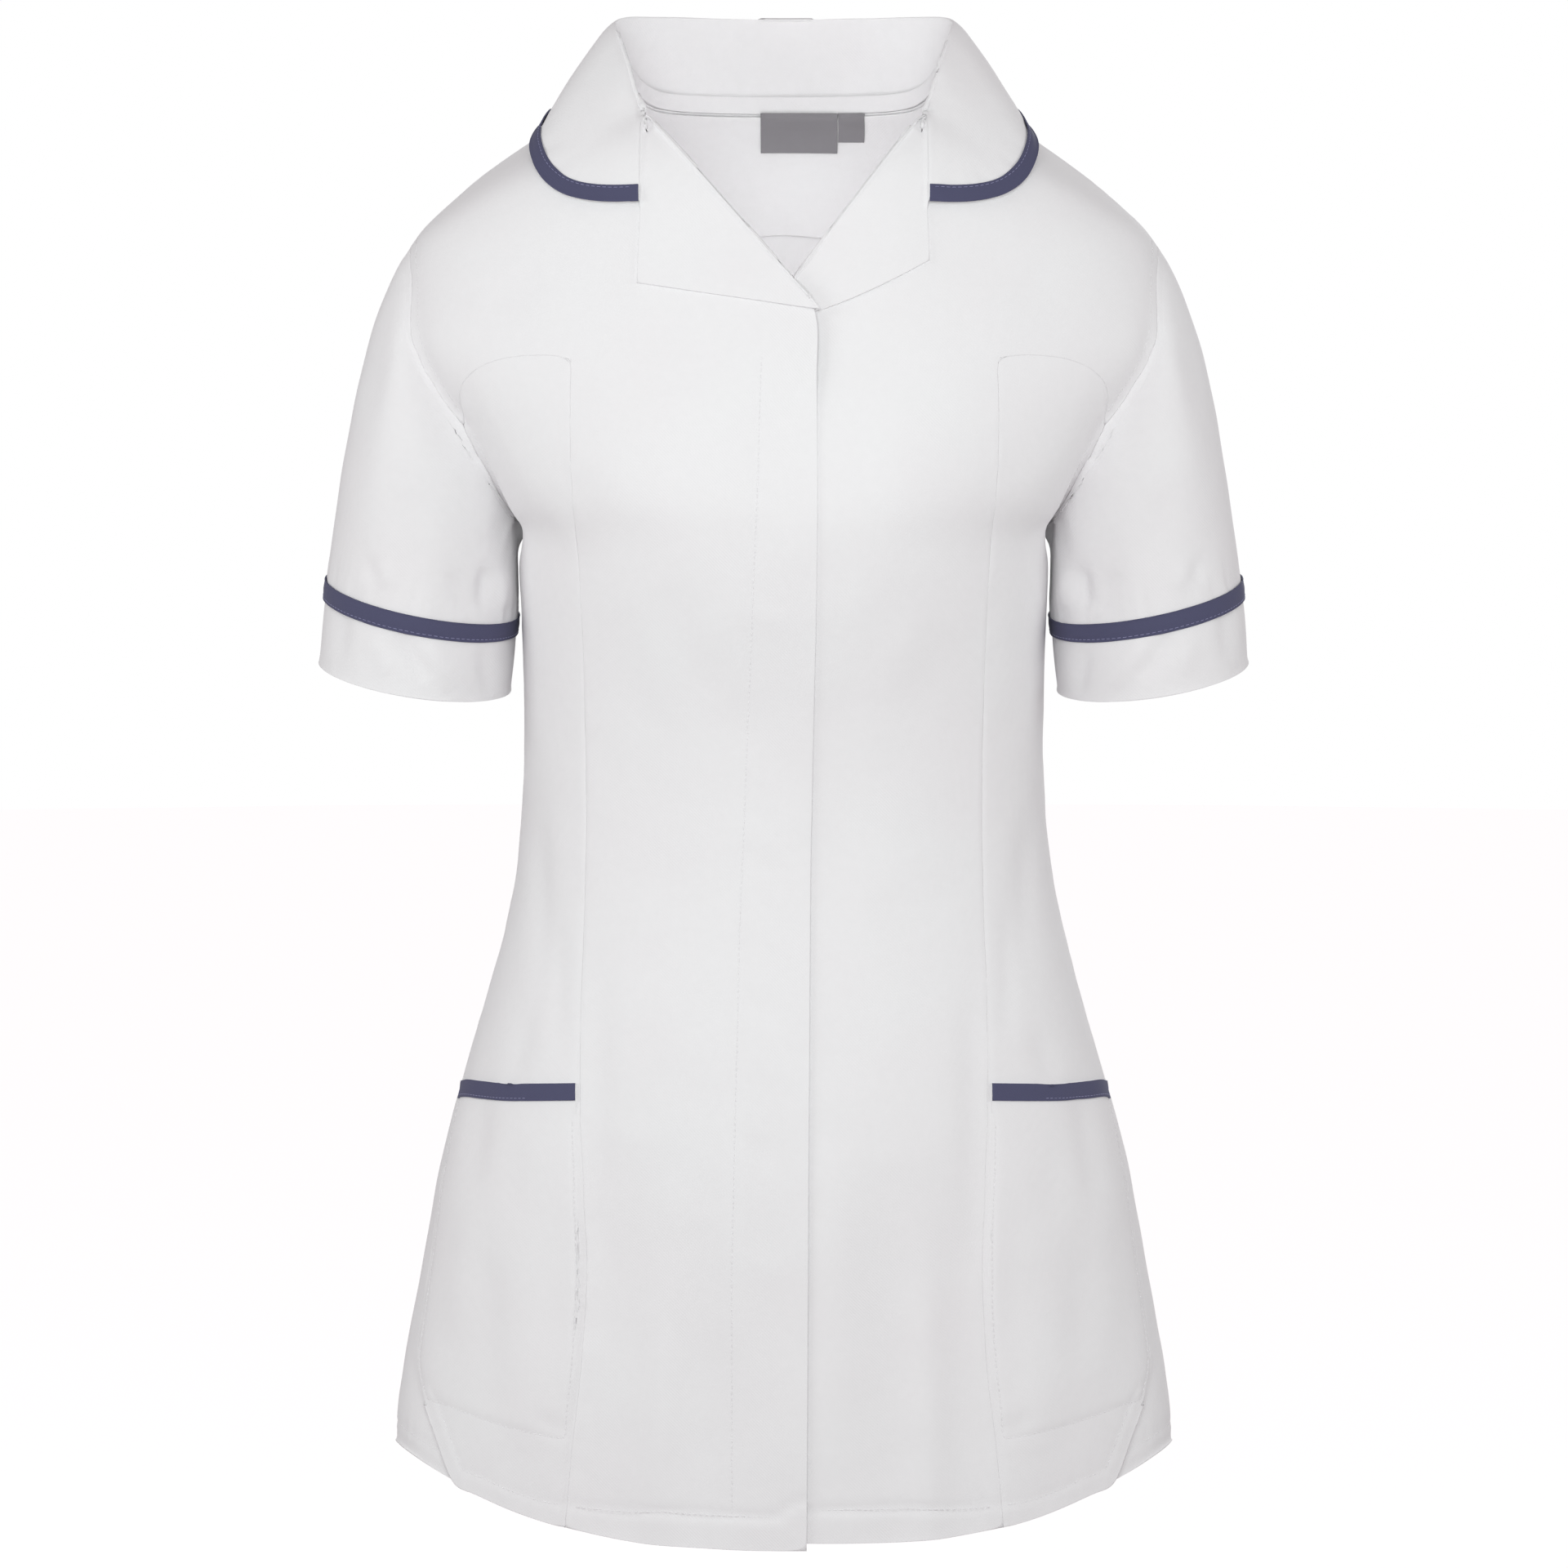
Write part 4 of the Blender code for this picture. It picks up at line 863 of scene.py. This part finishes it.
def under_tape(place, neighbour):
    """Picks the lower edge of a sleeve's tape, which slopes up to the outer side and to the back."""
    return place[2] < -267.2 * MM + 0.203 * (abs(place[0]) - 185.5 * MM) + 0.122 * place[1]


def under_cuff(place, neighbour):
    """Picks the bottom edge of a cuff, which slopes up to the outer side."""
    return place[2] < -302 * MM + 0.55 * (abs(place[0]) - 137 * MM)


for side, seed in (("right", 113), ("left", 133)):
    body = ["front_" + side, "side_front_" + side, "back"]

    sleeve = Cloth("sleeve_" + side, from_arm(side), body + ["cuff_" + side])
    sleeve.drape()
    head, along, _ = sleeve.edge(sewn(*body))
    sleeve.pucker(head, along, height=0.3 * MM, reach=11 * MM, spacing=12 * MM, seed=seed)
    lower, along, _ = sleeve.edge(below(-210 * MM))
    sleeve.pucker(lower, along, height=0.6 * MM, reach=17 * MM, spacing=5 * MM, seed=seed + 1, plain=6 * MM)
    sleeve.crease(FRONT, on_side(side, SLEEVE_CREASES))
    sleeve.crease(BACK, on_side(side, HIDDEN_SLEEVE_CREASES))
    sleeve_piece = sleeve.finish(workwear_cloth, "white_cloth", reach=6 * MM)

    cuff = Cloth("cuff_" + side, from_arm(side), ["sleeve_" + side])
    cuff.drape()
    bottom, along, _ = cuff.edge(under_cuff)
    cuff.pucker(bottom, along, height=0.2 * MM, reach=6 * MM, spacing=8 * MM, seed=seed + 6)
    cuff.crease(FRONT, on_side(side, CUFF_CREASES))
    cuff.crease(BACK, on_side(side, CUFF_CREASES))
    cuff_piece = cuff.finish(workwear_cloth, "white_cloth", CUFF_THICKNESS)

    tape = Cloth("sleeve_tape_" + side, from_arm(side), wall=TAPE_WALL, border=0.8 * MM, fineness=2)
    rim, _, _ = tape.edge(everywhere)
    # The folded tape is rounded, so it lies lower at its edges than along its middle.
    tape.push((0.75 * np.sqrt(np.clip(rim / TAPE_HALF, 0, 1)) - 0.6) * MM)
    tape.lie_on(0.4 * MM, sleeve, cuff, least=True)
    lower, _, past = tape.edge(under_tape)
    slate_stitching.sew(tape, lower, past, offset=1.3 * MM)
    tape_piece = tape.finish(slate_tape, "slate_tape", TAPE_THICKNESS)


# The collar: a stand and fall in one, of two layers of white cloth, rolled over at the neck.
# Slate tape is folded over the fall's outer edge and sewn through near its inner side.
COLLAR_WALL = 1.5 * MM
DOUBLE_THICKNESS = 1.0 * MM
collar_seams = ["back", "front_left", "front_right"]
collar = Cloth("collar", None, collar_seams, wall=COLLAR_WALL)
collar.draw_to(("lapel_left", "lapel_right"), 4 * MM)
collar.drape()
outer, along, _ = collar.edge(lambda place, neighbour: place[2] < 0.0 and neighbour == "")
collar.pucker(outer, along, height=0.5 * MM, reach=14 * MM, spacing=10 * MM, seed=153)
neck, along, _ = collar.edge(sewn(*collar_seams))
collar.pucker(neck, along, height=0.3 * MM, reach=12 * MM, spacing=14 * MM, seed=154)
collar_piece = collar.finish(workwear_cloth, "white_cloth", DOUBLE_THICKNESS)

trim = Cloth("collar_trim", None, wall=TAPE_WALL, border=0.8 * MM)
trim.push(np.full(len(trim.points), -0.4 * MM))
trim.lie_on(0.65 * MM, collar, least=True)
rim, _, past = trim.edge(everywhere)
slate_stitching.sew(trim, rim, past, offset=1.4 * MM,
                    wanted=lambda place: made_edges["collar"].find(place)[2] > 4 * MM)
trim_piece = trim.finish(slate_tape, "slate_tape", TAPE_THICKNESS)


# The lapels: the tops of the fronts, faced with the same cloth, turned back and pressed
# flat. Each meets the collar's end, and lies on its own front down to the lap.
for side, seed in (("right", 171), ("left", 181)):
    lapel = Cloth("lapel_" + side, lambda point: Vector((0, -1, 0)), border=2 * MM)
    lapel.draw_to(("collar",), 4 * MM)
    lapel.relax(2)
    lapel.lie_on(1.25 * MM, fronts[side])
    lapel.push(0.12 * MM * slack(lapel.points, length=0.05, seed=seed))
    lapel_piece = lapel.finish(workwear_cloth, "white_cloth", DOUBLE_THICKNESS, reach=1.5 * MM)


# Inside the neck: a facing of white cloth, a woven tape over the neck seam,
# and a grey satin label with a small size tab, both plain, caught in under the tape.
def toward_neck(point):
    """In towards the wearer's neck."""
    return -away_from_middle(point)


facing = Cloth("back_neck_facing", toward_neck, wall=TAPE_WALL, fineness=2)
facing.relax()
facing.push(0.12 * MM * slack(facing.points, length=0.05, seed=191))
FACING_THICKNESS = 0.6 * MM
facing_piece = facing.finish(workwear_cloth, "white_cloth", FACING_THICKNESS)

# Narrow white tape, a little coarser and greyer than the cloth, so that it reads as a band.
seam_tape = woven_surface("woven_white_seam_tape", "#F4F4F5", thread=0.9 * MM, lift=0.12 * MM,
                          roughness=0.85, sheen=0.05)
neck_tape = Cloth("neck_tape", toward_neck, wall=TAPE_WALL, border=1.0 * MM, fineness=2)
neck_tape_piece = neck_tape.finish(seam_tape, "white_tape", FACING_THICKNESS)


def tuck_in(piece):
    """Takes the top of a label up under the neck tape, and lets its bottom stand off the cloth a little."""
    height = piece.points[:, 2]
    top = np.clip((height + 22 * MM) / (4 * MM), 0, 1)
    low = np.clip((-25 * MM - height) / (10 * MM), 0, 1)
    piece.points[:, 2] += 1.3 * MM + 2.7 * MM * top
    piece.lie_on((0.7 + 1.2 * low) * MM, facing)


# Grey satin, woven close from smooth yarn: it is flatter than the cloth, with a slight sheen.
label_satin = woven_surface("woven_grey_satin", "#8B898D", thread=0.5 * MM, lift=0.05 * MM,
                            roughness=0.5, sheen=0.1)
LABEL_THICKNESS = 0.5 * MM
for name, flat in (("neck_label", (0.043, 0.0225)), ("size_tab", (0.019, 0.0134))):
    label = Cloth(name, toward_neck, wall=TAPE_WALL, border=1.0 * MM)
    tuck_in(label)
    label_piece = label.finish(label_satin, "grey_label", LABEL_THICKNESS)


# The pockets: large patches of white cloth on the side fronts, caught in the princess seam
# and the side seam, sewn along the bottom and topped by slate tape. They lie closed.
for side in ("right", "left"):
    body = [flanks[side], fronts[side], back]
    pocket = Cloth("pocket_" + side, away_from_middle, border=2 * MM)
    pocket.relax()
    edges, _, past = pocket.edge(below(-515 * MM))
    # It lies lightly on the cloth, and its sewn edges are drawn down into it.
    pocket.lie_on((0.75 - 1.05 * np.exp(-(edges / (4 * MM)) ** 2)) * MM, *body)
    white_stitching.sew(pocket, edges, past, offset=2.5 * MM)
    pocket_piece = pocket.finish(workwear_cloth, "white_cloth")
    tape = Cloth("pocket_tape_" + side, away_from_middle, wall=TAPE_WALL, border=0.8 * MM)
    tape.lie_on(0.9 * MM, pocket, *body)
    lower, _, past = tape.edge(below(-511 * MM))
    slate_stitching.sew(tape, lower, past, offset=1.3 * MM)
    tape_piece = tape.finish(slate_tape, "slate_tape", TAPE_THICKNESS)


# The stitching: spun polyester thread, about 3.3 stitches to the centimetre.
# White holds the hems, armholes, lap and pockets, and slate holds the tapes.
white_stitching.finish("white_stitching", white_thread, "white_cloth")
slate_stitching.finish("slate_stitching", slate_thread, "slate_tape")
